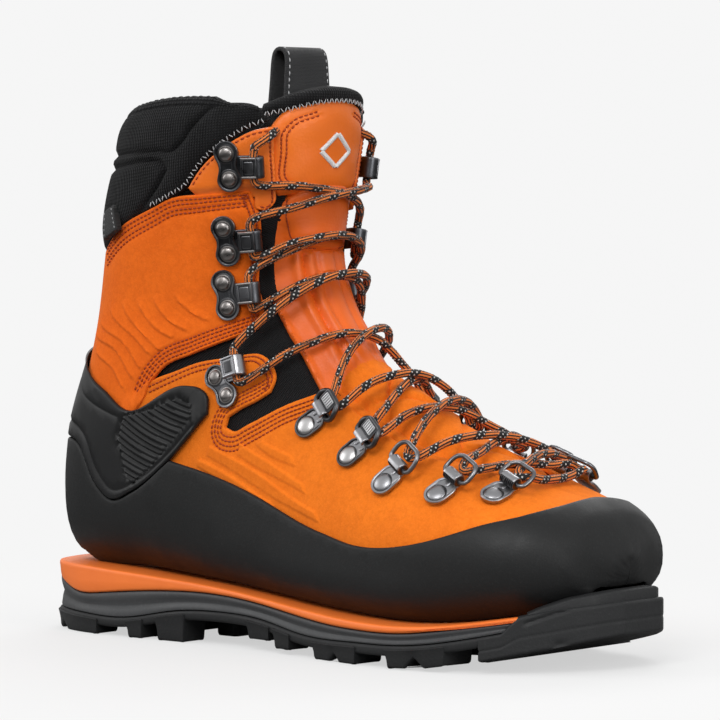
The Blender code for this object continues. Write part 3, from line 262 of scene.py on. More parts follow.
def straight(table, x):
    table = np.array(table, float)
    return np.interp(x, table[:, 0], table[:, 1])


def smooth(table, x):
    table = np.array(table, float)
    x = np.clip(np.asarray(x, float), table[0, 0], table[-1, 0])
    return natural_spline(table[:, 0], table[:, 1], np.atleast_1d(x)).reshape(x.shape)


def sole_top(x):
    return np.where(x < 120, smooth(Z_WEDGE, x), straight(Z_WELT, x))


def sole_v(u):
    """Where a panel on the last reaches the top of the sole."""
    v = np.linspace(0.26, 0.499, 240)
    points = at(np.full_like(v, u), v, 2.9)
    low = points[:, 2] < np.maximum(sole_top(points[:, 0]) + 0.7, points[-1, 2] + 1.6)
    i = int(np.argmax(low))
    return float(v[i] if i else 0.499)


# ------------------------------------------------------------------ the last's plane
FINE_U = np.linspace(0, LAST_U, 2001)
FINE_LENGTH = length_at(FINE_U)


def to_plane(uv):
    uv = np.asarray(uv, float)
    return np.stack([length_at(uv[..., 0]), girth(uv[..., 0]) * uv[..., 1]], -1)


def from_plane(points):
    u = np.interp(points[..., 0], FINE_LENGTH, FINE_U)
    return u, points[..., 1] / girth(u)


def smooth_path(points, closed, step, corner):
    """A smooth path through points; bends sharper than corner degrees stay corners."""
    points = np.asarray(points, float)
    count = len(points)
    spans = count if closed else count - 1
    gap = (np.roll(points, -1, 0) - points)[:spans]
    length = np.linalg.norm(gap, axis=1) + 1e-9
    heading = gap / length[:, None]
    arrive, leave = np.empty((2, count, 2))
    for i in range(count):
        if not closed and i in (0, count - 1):
            arrive[i] = leave[i] = heading[min(i, spans - 1)]
            continue
        before, after = heading[i - 1], heading[i]
        if math.degrees(math.acos(float(np.clip(before @ after, -1, 1)))) > corner:
            arrive[i], leave[i] = before, after
        else:
            arrive[i] = leave[i] = ((before * length[i] + after * length[i - 1])
                                    / (length[i - 1] + length[i]))
    out = []
    for i in range(spans):
        j = (i + 1) % count
        k = max(1, int(math.ceil(length[i] / step)))
        t = (np.arange(k) / k)[:, None]
        out.append((2 * t**3 - 3 * t**2 + 1) * points[i]
                   + (t**3 - 2 * t**2 + t) * length[i] * leave[i]
                   + (-2 * t**3 + 3 * t**2) * points[j] + (t**3 - t**2) * length[i] * arrive[j])
    if not closed:
        out.append(points[-1:])
    return np.concatenate(out)


def track(uv, step=1.0, corner=60):
    """A smooth open plane path through (u, v) places."""
    return smooth_path(to_plane(uv), False, step, corner)


def ring_of(uv, step=1.8, corner=50):
    """A smooth closed plane path through (u, v) places."""
    return smooth_path(to_plane(uv), True, step, corner)


def shift(path, distance):
    """A plane path moved sideways, to its left."""
    heading = unit(np.gradient(path, axis=0))
    return path + np.stack([-heading[:, 1], heading[:, 0]], 1) * distance


def either_side(path, *offsets):
    return [shift(path, off) for off in offsets + tuple(-off for off in offsets)]


def resample(path, step):
    run = run_along(path)
    where = np.linspace(0, run[-1], max(2, int(run[-1] / step) + 1))
    return np.stack([np.interp(where, run, path[:, k]) for k in range(path.shape[1])], 1)


def spline(points, step, density):
    """A smooth curve through 2-D or 3-D points, evenly spaced."""
    points = np.asarray(points, float)
    chords = run_along(points, .5)
    where = np.linspace(0, chords[-1], len(points) * density)
    return resample(natural_spline(chords, points, where), step)


def inside(points, ring):
    hit = np.zeros(len(points), bool)
    x, y = ring[:, 0], ring[:, 1]
    x2, y2 = np.roll(x, -1), np.roll(y, -1)
    for k in range(0, len(points), 4000):
        px, py = points[k:k + 4000, 0:1], points[k:k + 4000, 1:2]
        cross = ((y > py) != (y2 > py)) & (px < (x2 - x) * (py - y) / (y2 - y + 1e-12) + x)
        hit[k:k + 4000] = cross.sum(1) % 2 == 1
    return hit


def segment_gaps(points, start, end):
    """In blocks of points: the block's slice, and each point's vectors to every segment."""
    along = end - start
    squared = (along**2).sum(1) + 1e-12
    for k in range(0, len(points), 3000):
        block = points[k:k + 3000, None, :]
        share = np.clip(((block - start) * along).sum(2) / squared, 0, 1)
        yield slice(k, k + 3000), start + along * share[..., None] - block


def dist(points, path, closed=False, keep=None):
    """Each point's distance to a plane path, or to its kept segments."""
    start, end = path, np.roll(path, -1, 0)
    if not closed:
        start, end = start[:-1], end[:-1]
    if keep is not None:
        start, end = start[keep], end[keep]
    out = np.full(len(points), 1e9)
    for part, gap in segment_gaps(points, start, end):
        out[part] = np.linalg.norm(gap, axis=2).min(1)
    return out


def side_of(points, path):
    """Signed distance to an open path: positive on its left."""
    along = path[1:] - path[:-1]
    out = np.empty(len(points))
    for part, gap in segment_gaps(points, path[:-1], path[1:]):
        length = np.linalg.norm(gap, axis=2)
        k = length.argmin(1)
        i = np.arange(len(k))
        away = -gap[i, k]
        out[part] = np.sign(along[k, 0] * away[:, 1] - along[k, 1] * away[:, 0]) * length[i, k]
    return out


def hexes(low, high, step):
    rows = np.arange(low[0], high[0] + step, step * .866)
    columns = np.arange(low[1], high[1] + step, step)
    grid = np.stack(np.meshgrid(rows, columns, indexing="ij"), -1)
    grid[1::2, :, 1] += step / 2
    return grid.reshape(-1, 2)


def signed_area(ring):
    x, y = ring[:, 0], ring[:, 1]
    return (x * np.roll(y, -1) - np.roll(x, -1) * y).sum()


def mirror(uv):
    """(u, v) places carried over the throat, in reverse order."""
    return [(u, -v) for u, v in reversed(uv)]


def mirror_back(uv):
    """(u, v) places carried over the back line, in reverse order."""
    return [(u, 1 - v) for u, v in reversed(uv)]


def both(uv):
    return list(uv) + mirror(uv)


def on_side(uv, side):
    return uv if side > 0 else mirror(uv)


def path_on_side(path, side):
    return path * [1, side]


def with_mirror(paths):
    return paths + [path_on_side(path, -1) for path in paths]


def trim(paths, ring, keep=1.1):
    """The parts of the paths inside a ring, more than keep from it."""
    out = []
    for path in paths:
        good = inside(path, ring) & (dist(path, ring, True) > keep)
        run = []
        for k in range(len(path)):
            if good[k]:
                run.append(path[k])
            if (not good[k] or k == len(path) - 1) and len(run) > 3:
                out.append(np.array(run))
            if not good[k]:
                run = []
    return out


# ------------------------------------------------------------------ shaping rules
def height(rule, u, v):
    """A height in mm from a number or a rule of (u, v)."""
    return rule(u, v) if callable(rule) else np.full(np.shape(u), float(rule))


def ramp(x, start, width):
    """0 at start to 1 a width further on; a negative width climbs towards lower x."""
    return np.clip((x - start) / width, 0, 1)


def bell(x, width, power=2):
    return np.exp(-(x / width) ** power)


def swell(distance, soft):
    """Climbs from 0 at an edge towards 1."""
    return 1 - np.exp(-distance / soft)


# ------------------------------------------------------------------ objects
def to_world(points):
    return (np.asarray(points, float) - ORIGIN) * MM


def link(obj):
    SCENE.collection.objects.link(obj)
    return obj


def outward_normals(mesh, merge=False):
    work = bmesh.new()
    work.from_mesh(mesh)
    if merge:
        bmesh.ops.remove_doubles(work, verts=work.verts, dist=2e-6)
    bmesh.ops.recalc_face_normals(work, faces=work.faces)
    work.to_mesh(mesh)
    work.free()


def shade(mesh, sharp):
    """Smooth shading; edges over sharp degrees stay sharp, unless sharp is 0."""
    mesh.shade_smooth()
    if sharp:
        mesh.set_sharp_from_angle(angle=math.radians(sharp))


def make(name, verts, faces, mats, uv=None, face_mat=None, sharp=0, outward=False):
    """A linked mesh object; verts in part millimetres."""
    mesh = bpy.data.meshes.new(name)
    mesh.from_pydata(to_world(verts).tolist(), [], [list(map(int, f)) for f in faces])
    if uv is not None:
        layer = mesh.uv_layers.new(name="UVMap")
        index = np.empty(len(mesh.loops), np.int32)
        mesh.loops.foreach_get("vertex_index", index)
        layer.data.foreach_set("uv", np.asarray(uv, np.float32)[index].ravel())
    for mat in mats if isinstance(mats, list) else [mats]:
        mesh.materials.append(mat)
    if face_mat is not None:
        mesh.polygons.foreach_set("material_index", np.asarray(face_mat, np.int32))
    if outward:
        outward_normals(mesh)
    shade(mesh, sharp)
    mesh.validate()
    return link(bpy.data.objects.new(name, mesh))


def attach(obj, body, slot, *nodes):
    """Rides on one body; when body is a bend(), its transform is only baked in and it rides on no
    body.
    """
    if obj is None:  # stitch rows that fall outside their panel make no object
        return
    if isinstance(body, str):
        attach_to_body(obj, body)
    else:
        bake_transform(obj)
    if nodes:
        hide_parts(*nodes)


def bend(first, second, start, end):
    """Two bodies, and the points where the first lets go and the second takes over."""
    return first, second, tuple(to_world(start)), tuple(to_world(end))


ANKLE_BEND = bend("lower", "cuff", (-60, 0, 108), (-66, 0, 124))
TONGUE_BEND = bend("cuff", "tongue", (-33, 0, 144), (-33, 0, 154))


# ------------------------------------------------------------------ panels
def panel_points(ring, cell, edge, lines, fine):
    """The ring, rows along its rim and the lines, the fine zones, then a hexagon grid."""
    grid = hexes(ring.min(0), ring.max(0), cell)
    grid = grid[inside(grid, ring)]
    grid = grid[dist(grid, ring, True) > max(edge, .5 * cell)]
    around = np.roll(ring, -1, 0) - np.roll(ring, 1, 0)
    inward = unit(np.stack([-around[:, 1], around[:, 0]], 1))
    if signed_area(ring) < 0:
        inward = -inward
    extra = []
    for share in (.15, .5, 1.0):
        row = ring + inward * edge * share
        row = row[inside(row, ring)]
        extra.append(row[dist(row, ring, True) > edge * share * .8])
    for uv, step in fine:
        zone = ring_of(uv, 1.0, 30)
        dots = hexes(zone.min(0), zone.max(0), step)
        dots = dots[inside(dots, zone)]
        dots = dots[inside(dots, ring)]
        extra.append(dots[dist(dots, ring, True) > edge * 1.1])
        grid = grid[~inside(grid, zone)]
    for path, _, half in lines:
        middle = resample(path, max(1.2, half))
        for share in (-1.6, -.7, 0, .7, 1.6):
            row = shift(middle, share * half)
            row = row[inside(row, ring)]
            extra.append(row[dist(row, ring, True) > edge * 1.05])
        grid = grid[dist(grid, middle) > 1.6 * half + .35 * cell]
    points = np.concatenate([ring] + extra + [grid])
    # drop points that fall on another point
    _, first = np.unique(np.round(points / 0.14).astype(np.int64), axis=0, return_index=True)
    keep = np.zeros(len(points), bool)
    keep[first] = True
    keep[:len(ring)] = True
    return points[keep]


def triangulate(points, count):
    """Triangles of one winding inside the ring of the first count points."""
    result = delaunay_2d_cdt([Vector(q) for q in points.tolist()], [], [list(range(count))],
                             1, 1e-7)
    flat = np.array([tuple(q) for q in result[0]])
    tris = np.array([f for f in result[2] if len(f) == 3], int)
    a, b, c = flat[tris[:, 0]], flat[tris[:, 1]], flat[tris[:, 2]]
    area = (b[:, 0] - a[:, 0]) * (c[:, 1] - a[:, 1]) - (b[:, 1] - a[:, 1]) * (c[:, 0] - a[:, 0])
    tris[area < 0] = tris[area < 0][:, ::-1]
    return flat, tris


def relax_tip(faces_verts, edges, u):
    """Evens out both faces of a panel near the toe tip, away from its border."""
    near = [[] for _ in u]
    for i, j in edges:
        near[i].append(j)
    border = {k for i, j in edges if (j, i) not in edges for k in (i, j)}
    zone = [i for i in np.where(u < 1.6)[0] if i not in border and near[i]]
    for verts in faces_verts:
        for _ in range(12):
            means = {i: verts[near[i]].mean(0) for i in zone}
            for i, mean in means.items():
                verts[i] = verts[i] * .4 + mean * .6


def sheet(name, outline, top, inner, mat, cell, edge, inner_edge=.4, bump=None, lines=(),
          fine=(), corner=50, wraps=False):
    """A panel of the last between two heights, with fine facets and rolled edges.

    lines: (plane path, depth, half width) pressed in.
    fine: ((u, v) outline, cell) zones with a smaller cell.
    bump(u, v, plane, rim): extra height in mm; rim is the distance to the edge.
    wraps: the panel closes round the toe and meets itself at the back and under the toe."""
    ring = ring_of(outline, min(cell, 1.8), corner)
    plane, tris = triangulate(panel_points(ring, cell, edge, lines, fine), len(ring))
    u, v = from_plane(plane)
    rolled = None
    if wraps:
        meets = np.abs(from_plane(ring)[1]) > .4995
        rolled = ~(meets & np.roll(meets, -1))
    rim = dist(plane, ring, True, rolled)
    near = np.clip(1 - rim / edge, 0, 1)
    drop = 1 - np.sqrt(np.clip(1 - near * near, 0, 1))
    high = height(top, u, v) - edge * drop
    for path, depth, half in lines:
        high = high - depth * bell(dist(plane, path), half) * (1 - drop)
    if bump:
        high = high + bump(u, v, plane, rim) * (1 - drop)
    low = np.minimum(height(inner, u, v) + min(inner_edge, edge) * drop, high - .12)
    out, points = normal(u, v), base(u, v)
    tip = u < 1e-3
    if tip.any():
        points[tip] = base(np.zeros(32), np.arange(32) / 32).mean(axis=0)
        out[tip] = TIP_NORMAL
    top_verts = points + out * high[:, None]
    low_verts = points + out * low[:, None]
    count = len(plane)
    edges = dict.fromkeys((f[i], f[(i + 1) % 3]) for f in tris for i in range(3))
    walls = []
    for i, j in edges:
        if (j, i) in edges or (wraps and min(abs(v[i]), abs(v[j])) > .4995):
            continue
        walls.append((j, i, i + count, j + count))
    if wraps:
        relax_tip((top_verts, low_verts), edges, u)
    faces = [tuple(f) for f in tris.tolist()]
    faces += [tuple(k + count for k in reversed(f)) for f in tris.tolist()] + walls
    obj = make(name, np.concatenate([top_verts, low_verts]), faces, mat,
               uv=np.concatenate([plane, plane]) / 100.0, sharp=60)
    outward_normals(obj.data, merge=wraps or tip.any())
    shade(obj.data, 60)
    return obj


# ------------------------------------------------------------------ thread and cord
def tube_faces(rows, sides, closed=False):
    """Quads between rings of verts; capped at both ends, or closed into a loop."""
    faces = []
    for k in range(rows if closed else rows - 1):
        here, there = k * sides, (k + 1) % rows * sides
        faces += [(here + s, here + (s + 1) % sides, there + (s + 1) % sides, there + s)
                  for s in range(sides)]
    if not closed:
        faces += [tuple(range(sides))[::-1], tuple(range((rows - 1) * sides, rows * sides))]
    return faces


def capsules(places, length, radius, arch=.25):
    """Arched stitches of thread at (centre, direction along, direction out)."""
    rings, sides = 5, 6
    one = tube_faces(rings, sides)
    verts, faces = [], []
    for centre, along, out in places:
        first = len(verts)
        across = np.cross(out, along)
        for x in np.linspace(-1, 1, rings):
            thick = radius * math.sqrt(max(.06, 1 - abs(x) ** 2.6))
            middle = (centre + along * (x * length / 2)
                      + out * (arch * radius * (1 - 2.2 * x * x)))
            verts += [middle + thick * (across * math.cos(a) + out * math.sin(a))
                      for a in (2 * math.pi * s / sides for s in range(sides))]
        faces += [tuple(k + first for k in face) for face in one]
    return verts, faces


def stitches(name, paths, top, mat, pitch=2.35, length=1.75, radius=.38, zigzag=False):
    """Thread along plane paths, sunk a little in a panel whose face lies at top."""
    sink = .08
    places = []
    for path in paths:
        run = run_along(path)
        count = max(1, int(run[-1] / pitch))
        where = (np.arange(count) + .5) / count * run[-1]
        centre, start, end = (np.stack([np.interp(where + d, run, path[:, i]) for i in range(2)],
                                       1) for d in (0, -.4, .4))
        if zigzag:
            heading = unit(end - start)
            across = np.stack([-heading[:, 1], heading[:, 0]], 1)
            k = np.arange(count)
            lean = (np.where(k % 2, 1.0, -1.0) * np.where(k % 3, 1.0, .6))[:, None]
            start = centre - heading * .3 * lean - across * .7
            end = centre + heading * .3 * lean + across * .7
        u, v = from_plane(centre)
        out = normal(u, v)
        along = square_to(base(*from_plane(end)) - base(*from_plane(start)), out)
        places += zip(at(u, v, height(top, u, v) - sink), along, out)
    return make(name, *capsules(places, length, radius), mat) if places else None


def rope(path, radius, wave, outs=None):
    """Verts, faces and (length, share round) of a cord; wave(length, angle) adds radius."""
    sides = 16
    along = unit(np.gradient(path, axis=0))
    run = run_along(path)
    radius = np.broadcast_to(radius, len(path))
    angle = 2 * math.pi * np.arange(sides) / sides
    out = np.cross(along[0], [0.3, 0.2, 1.0])
    verts, uv = [], []
    for k in range(len(path)):
        out = square_to(out if outs is None else outs[k], along[k])
        thick = radius[k] + wave(run[k], angle)
        verts.append(path[k] + (thick * np.cos(angle))[:, None] * out
                     + (thick * np.sin(angle))[:, None] * np.cross(along[k], out))
        uv.append(np.stack([np.full(sides, run[k]), angle / (2 * math.pi)], 1))
    return np.concatenate(verts), tube_faces(len(path), sides), np.concatenate(uv)


# ------------------------------------------------------------------ materials
class Material:
    """A small builder for one Principled material with procedural detail."""

    def __init__(self, name, color, rough, metallic=0.0):
        self.material = bpy.data.materials.new(name)
        self.material.use_nodes = True
        self.tree = self.material.node_tree
        self.shader = self.tree.nodes["Principled BSDF"]
        self.set(Roughness=rough, Metallic=metallic, Base_Color=(*color, 1))
        self.material.diffuse_color = (*color, 1)
        rgb = self.add("ShaderNodeRGB")
        rgb.outputs[0].default_value = (*color, 1)
        self.color = rgb.outputs[0]
        coordinates = self.add("ShaderNodeTexCoord")
        self.obj, self.uv = coordinates.outputs["Object"], coordinates.outputs["UV"]
        self.normal = None

    def add(self, kind, **inputs):
        node = self.tree.nodes.new(kind)
        for name, number in inputs.items():
            node.inputs[name.replace("_", " ")].default_value = number
        return node

    def link(self, output, target):
        self.tree.links.new(output, target)

    def noise(self, scale, detail=3, rough=.55, distort=0.0):
        node = self.add("ShaderNodeTexNoise", Scale=scale, Detail=detail, Roughness=rough,
                        Distortion=distort)
        self.link(self.obj, node.inputs["Vector"])
        return node.outputs["Fac"]

    def cells(self, scale):
        node = self.add("ShaderNodeTexVoronoi", Scale=scale)
        self.link(self.obj, node.inputs["Vector"])
        return node.outputs["Distance"]

    def wave(self, scale, axis, distort=0.0, coord=None):
        node = self.add("ShaderNodeTexWave", Scale=scale, Distortion=distort)
        node.bands_direction = axis
        self.link(coord or self.uv, node.inputs["Vector"])
        return node.outputs["Fac"]

    def math(self, operation, first, second=0.5):
        node = self.add("ShaderNodeMath")
        node.operation = operation
        for target, item in zip(node.inputs, (first, second)):
            if hasattr(item, "links"):
                self.link(item, target)
            else:
                target.default_value = item
        return node.outputs[0]

    def range(self, pattern, start, end, least=0.0, most=1.0):
        """Carries start..end of a pattern to least..most."""
        node = self.add("ShaderNodeMapRange", From_Min=start, From_Max=end,
                        To_Min=least, To_Max=most)
        self.link(pattern, node.inputs["Value"])
        return node.outputs[0]

    def mix(self, share, color):
        node = self.add("ShaderNodeMix")
        node.data_type = "RGBA"
        self.link(share, node.inputs["Factor"])
        self.link(self.color, node.inputs[6])
        node.inputs[7].default_value = (*color, 1)
        self.color = node.outputs[2]

    def tint(self, color, pattern, start, end, most, least=0):
        self.mix(self.range(pattern, start, end, least, most), color)

    def bump(self, pattern, depth, strength):
        """Relief; depth in mm."""
        node = self.add("ShaderNodeBump", Distance=depth * MM, Strength=strength)
        self.link(pattern, node.inputs["Height"])
        if self.normal:
            self.link(self.normal, node.inputs["Normal"])
        self.normal = node.outputs[0]

    def roughness(self, pattern, least, most):
        self.link(self.range(pattern, start=.3, end=.7, least=least, most=most),
                  self.shader.inputs["Roughness"])

    def set(self, **inputs):
        for name, number in inputs.items():
            self.shader.inputs[name.replace("_", " ")].default_value = number

    def done(self):
        self.link(self.color, self.shader.inputs["Base Color"])
        if self.normal:
            self.link(self.normal, self.shader.inputs["Normal"])
        return self.material


def suede(name, color, dark):
    m = Material(name, color, rough=.92)
    m.tint(dark, m.noise(scale=22, detail=5, rough=.6, distort=.4), start=.38, end=.70, most=.42)
    m.tint(dark, m.noise(scale=160, detail=4, rough=.7), start=.44, end=.68, most=.34)
    m.tint(dark, m.noise(scale=430, rough=.7), start=.44, end=.64, most=.36)
    m.tint(tuple(min(1, c * 1.18 + .015) for c in color),
           m.noise(scale=1300, detail=2, rough=.6), start=.5, end=.75, most=.35)
    m.bump(m.noise(scale=900, detail=4, rough=.7), depth=.32, strength=.55)
    m.bump(m.noise(scale=95), depth=.7, strength=.22)
    m.set(Sheen_Weight=.14, Sheen_Roughness=.45, Specular_IOR_Level=.15,
          Sheen_Tint=(1.0, .55, .25, 1))
    return m.done()


def smooth_leather(name, color, dark):
    m = Material(name, color, rough=.42)
    m.tint(dark, m.noise(scale=40), start=.35, end=.75, most=.35)
    m.tint(dark, m.cells(scale=900), start=.0, end=.12, least=.22, most=0)
    m.roughness(m.noise(scale=160), least=.34, most=.52)
    m.bump(m.cells(scale=850), depth=.12, strength=.5)
    m.bump(m.noise(scale=60, rough=.6), depth=.6, strength=.3)
    m.set(Coat_Weight=.06, Coat_Roughness=.3, Specular_IOR_Level=.34)
    return m.done()


def rubber(name, color, least, most, grain=1100, depth=.12, specular=.3):
    """least, most: roughness; grain: scale of the relief."""
    m = Material(name, color, rough=.6)
    m.tint(tuple(c * 1.4 + .001 for c in color), m.noise(scale=22), start=.35, end=.75, most=.5)
    m.tint(tuple(c * 2.0 + .004 for c in color), m.noise(scale=900, detail=2, rough=.6),
           start=.55, end=.75, most=.35)
    m.roughness(m.noise(scale=48, detail=4), least=least, most=most)
    m.bump(m.noise(scale=grain, rough=.65), depth=depth, strength=.6)
    m.set(Specular_IOR_Level=specular)
    return m.done()


def foam(name, color, dark):
    m = Material(name, color, rough=.5)
    m.tint(dark, m.noise(scale=60), start=.4, end=.7, most=.25)
    m.bump(m.noise(scale=1200, detail=2), depth=.06, strength=.5)
    m.bump(m.noise(scale=40, detail=2), depth=.3, strength=.15)
    return m.done()


def knit(name, color, light, columns, courses, depth, sheen=.12):
    """A rib knit: columns along U crossed by finer courses."""
    m = Material(name, color, rough=.9)
    mapping = m.add("ShaderNodeMapping")
    m.link(m.uv, mapping.inputs["Vector"])
    column = m.wave(columns, "Y", distort=.6, coord=mapping.outputs[0])
    course = m.wave(courses, "X", distort=1.1, coord=mapping.outputs[0])
    weave = m.math("MULTIPLY", column, m.math("ADD", m.math("MULTIPLY", course, .6), .4))
    # painted highlight: the rib crests take the paler light colour
    m.tint(light, weave, start=.45, end=.95, most=.55)
    m.tint(light, m.noise(scale=60), start=.4, end=.7, most=.3)
    m.bump(weave, depth=depth, strength=.8)
    m.bump(m.noise(scale=1500, detail=2), depth=.15, strength=.5)
    m.set(Sheen_Weight=sheen, Sheen_Roughness=.5, Specular_IOR_Level=.25)
    return m.done()


def stretch_rib(name, color, light):
    """Stretch fabric with fine parallel ribs."""
    m = Material(name, color, rough=.85)
    ribs = m.wave(scale=26, axis="X", distort=.4)
    m.tint(light, ribs, start=.5, end=1, most=.6)
    m.bump(ribs, depth=.8, strength=.8)
    m.bump(m.noise(scale=1300), depth=.2, strength=.5)
    m.set(Specular_IOR_Level=.25)
    return m.done()


def webbing(name, color, light):
    m = Material(name, color, rough=.75)
    twill, weft = m.wave(scale=75, axis="DIAGONAL"), m.wave(scale=55, axis="X", distort=.3)
    weave = m.math("MAXIMUM", twill, m.math("MULTIPLY", weft, .8))
    m.tint(light, weave, start=.5, end=1, most=.5)
    m.bump(weave, depth=.35, strength=.8)
    m.bump(m.noise(scale=1800, detail=2), depth=.1, strength=.4)
    m.set(Sheen_Weight=.1)
    return m.done()


def metal(name, color, rough, wear=None):
    """wear: the paler colour of rubbed edges."""
    m = Material(name, color, rough, metallic=1.0)
    m.tint(tuple(c * .62 for c in color), m.noise(scale=120, detail=4),
           start=.35, end=.75, most=.35)
    if wear:
        pointiness = m.add("ShaderNodeNewGeometry").outputs["Pointiness"]
        m.tint(wear, pointiness, start=.52, end=.62, most=.85)
    m.tint(tuple(min(1, c * 1.5 + .02) for c in color), m.noise(scale=700, rough=.7),
           start=.62, end=.78, most=.35)
    m.roughness(m.noise(scale=240, detail=4), least=rough * .8, most=rough * 1.35)
    m.bump(m.noise(scale=1500, detail=2), depth=.03, strength=.4)
    m.bump(m.noise(scale=90, detail=2), depth=.12, strength=.12)
    return m.done()


def thread(name, color, sheen=.15):
    m = Material(name, color, rough=.7)
    m.tint(tuple(c * .6 for c in color), m.noise(scale=1500, detail=2),
           start=.4, end=.7, most=.45)
    m.bump(m.noise(scale=2600, detail=2), depth=.1, strength=.7)
    m.set(Sheen_Weight=sheen)
    return m.done()


def braided(name, color, strand_color, fleck_color):
    """Cord: U runs along it in mm, V round it. Bright strands, crossed by flecked dark bands."""
    m = Material(name, color, rough=.72)
    split = m.add("ShaderNodeSeparateXYZ")
    m.link(m.uv, split.inputs[0])
    along, turn = split.outputs[0], split.outputs[1]

    def stripe(per_mm, per_turn, half, soft):
        """1 in the middle of each stripe, fading over soft either side of half."""
        phase = m.math("FRACT", m.math("ADD", m.math("MULTIPLY", along, per_mm),
                                       m.math("MULTIPLY", turn, per_turn)))
        off = m.math("ABSOLUTE", m.math("SUBTRACT", phase, .5))
        return m.range(off, half - soft, half + soft, least=1, most=0)

    def saw(operation, per_mm=1.15, per_turn=8.0):
        phase = m.math("FRACT", m.math(operation, m.math("MULTIPLY", along, per_mm),
                                       m.math("MULTIPLY", turn, per_turn)))
        return m.math("PINGPONG", phase, .5)

    # strands lie nearly along the cord, each broken by the fine braid
    strand = stripe(per_mm=.035, per_turn=8.0, half=.27, soft=.06)
    cell = m.math("MAXIMUM", stripe(per_mm=1.15, per_turn=8.0, half=.34, soft=.1),
                  stripe(per_mm=-1.15, per_turn=8.0, half=.34, soft=.1))
    strand = m.math("MULTIPLY", strand, m.range(cell, start=0, end=1, least=.45))
    band = stripe(per_mm=1 / 11.5, per_turn=.8, half=.21, soft=.015)
    dots = m.math("MULTIPLY", stripe(per_mm=.42, per_turn=4.0, half=.17, soft=.05),
                  stripe(per_mm=-.42, per_turn=4.0, half=.17, soft=.05))
    dim = m.range(m.noise(scale=900, detail=2), start=.3, end=.7, least=.78)
    bare = m.math("MULTIPLY", strand, m.math("SUBTRACT", 1.0, band))
    m.mix(m.math("MULTIPLY", bare, dim), strand_color)
    m.mix(m.math("MULTIPLY", m.math("MULTIPLY", dots, band), dim), fleck_color)
    m.bump(m.math("MULTIPLY", saw("ADD"), saw("SUBTRACT")), depth=.5, strength=.8)
    m.bump(m.noise(scale=2400, detail=2), depth=.1, strength=.5)
    m.set(Sheen_Weight=.1, Specular_IOR_Level=.3)
    return m.done()


VAMP_SUEDE = suede("suede_vamp", (.90, .205, .013), dark=(.70, .135, .007))
QUARTER_SUEDE = suede("suede_quarter", (.93, .170, .011), dark=(.70, .105, .006))
COATED = smooth_leather("coated_leather", (.94, .200, .020), dark=(.66, .095, .006))
RAND_RUBBER = rubber("rand_rubber", (.0110, .0113, .0115), least=.44, most=.64, specular=.27)
WING_POLYMER = rubber("wing_polymer", (.009, .0092, .0096), least=.40, most=.52, grain=1500,
                      depth=.06)
SOLE_RUBBER = rubber("outsole_rubber", (.017, .0175, .0182), least=.5, most=.72, grain=800,
                     depth=.2, specular=.28)
FRAME_POLYMER = rubber("frame_polymer", (.050, .0515, .0535), least=.42, most=.6, grain=1500,
                       depth=.05)
WEDGE_FOAM = foam("wedge_foam", (.95, .205, .028), dark=(.78, .135, .016))
# each knit's light colour is painted on its rib crests as painted highlight, and mottled in by
# noise as random tone
COLLAR_KNIT = knit("collar_knit", (.0019, .0019, .0021), light=(.025, .025, .027),
                   columns=26, courses=24, depth=.8, sheen=.04)
EDGE_KNIT = knit("edge_knit", (.0035, .0035, .004), light=(.028, .028, .030),
                 columns=16, courses=22, depth=.9, sheen=.05)
LINING_KNIT = knit("lining_knit", (.012, .012, .013), light=(.045, .045, .047),
                   columns=26, courses=30, depth=.4)
BOOTIE_KNIT = knit("bootie_textile", (.016, .016, .017), light=(.05, .05, .052),
                   columns=24, courses=24, depth=.3)
STRETCH = stretch_rib("stretch_rib", (.006, .006, .0065), light=(.030, .030, .032))
WEBBING = webbing("pull_webbing", (.010, .010, .011), light=(.040, .041, .043))
LABEL_CLOTH = webbing("label_cloth", (.008, .008, .008), light=(.03, .03, .03))
FOOTBED_FELT = knit("footbed_felt", (.03, .03, .033), light=(.09, .09, .095),
                    columns=20, courses=20, depth=.3)
BOARD = rubber("fibre_board", (.030, .029, .028), least=.7, most=.9, grain=700, depth=.2)
SHANK_METAL = metal("shank_metal", (.4, .4, .41), rough=.4)
GUNMETAL = metal("gunmetal", (.085, .087, .094), rough=.30, wear=(.42, .42, .44))
RIVET_METAL = metal("rivet_satin", (.27, .25, .24), rough=.34, wear=(.52, .50, .49))
CHROME = metal("bridge_chrome", (.31, .31, .325), rough=.30)
CLIP_METAL = metal("ring_clip_satin", (.36, .36, .375), rough=.33)
STEEL = metal("clip_steel", (.56, .55, .55), rough=.34)
CAP_FACE = metal("cap_face_satin", (.52, .52, .53), rough=.42)
DARK_METAL = metal("link_black", (.028, .028, .031), rough=.36, wear=(.30, .30, .31))
RING_STEEL = metal("ring_steel", (.20, .20, .21), rough=.30)
RUST_THREAD = thread("thread_rust", (.40, .050, .006), sheen=0.0)
# painted shade: a darker copy of the coated leather for the middle pad and the bellows, standing
# in for the shade over the tongue's middle
SHADED_COATED_LEATHER = smooth_leather("coated_leather_painted_shade", (.86, .150, .012), dark=(.56, .066, .004))
GREY_THREAD = thread("thread_grey", (.52, .52, .53))
WHITE_THREAD = thread("thread_white", (.80, .80, .79))
LACE_CORD = braided("braided_lace", (.010, .0095, .010), strand_color=(.86, .235, .045),
                    fleck_color=(.72, .71, .68))

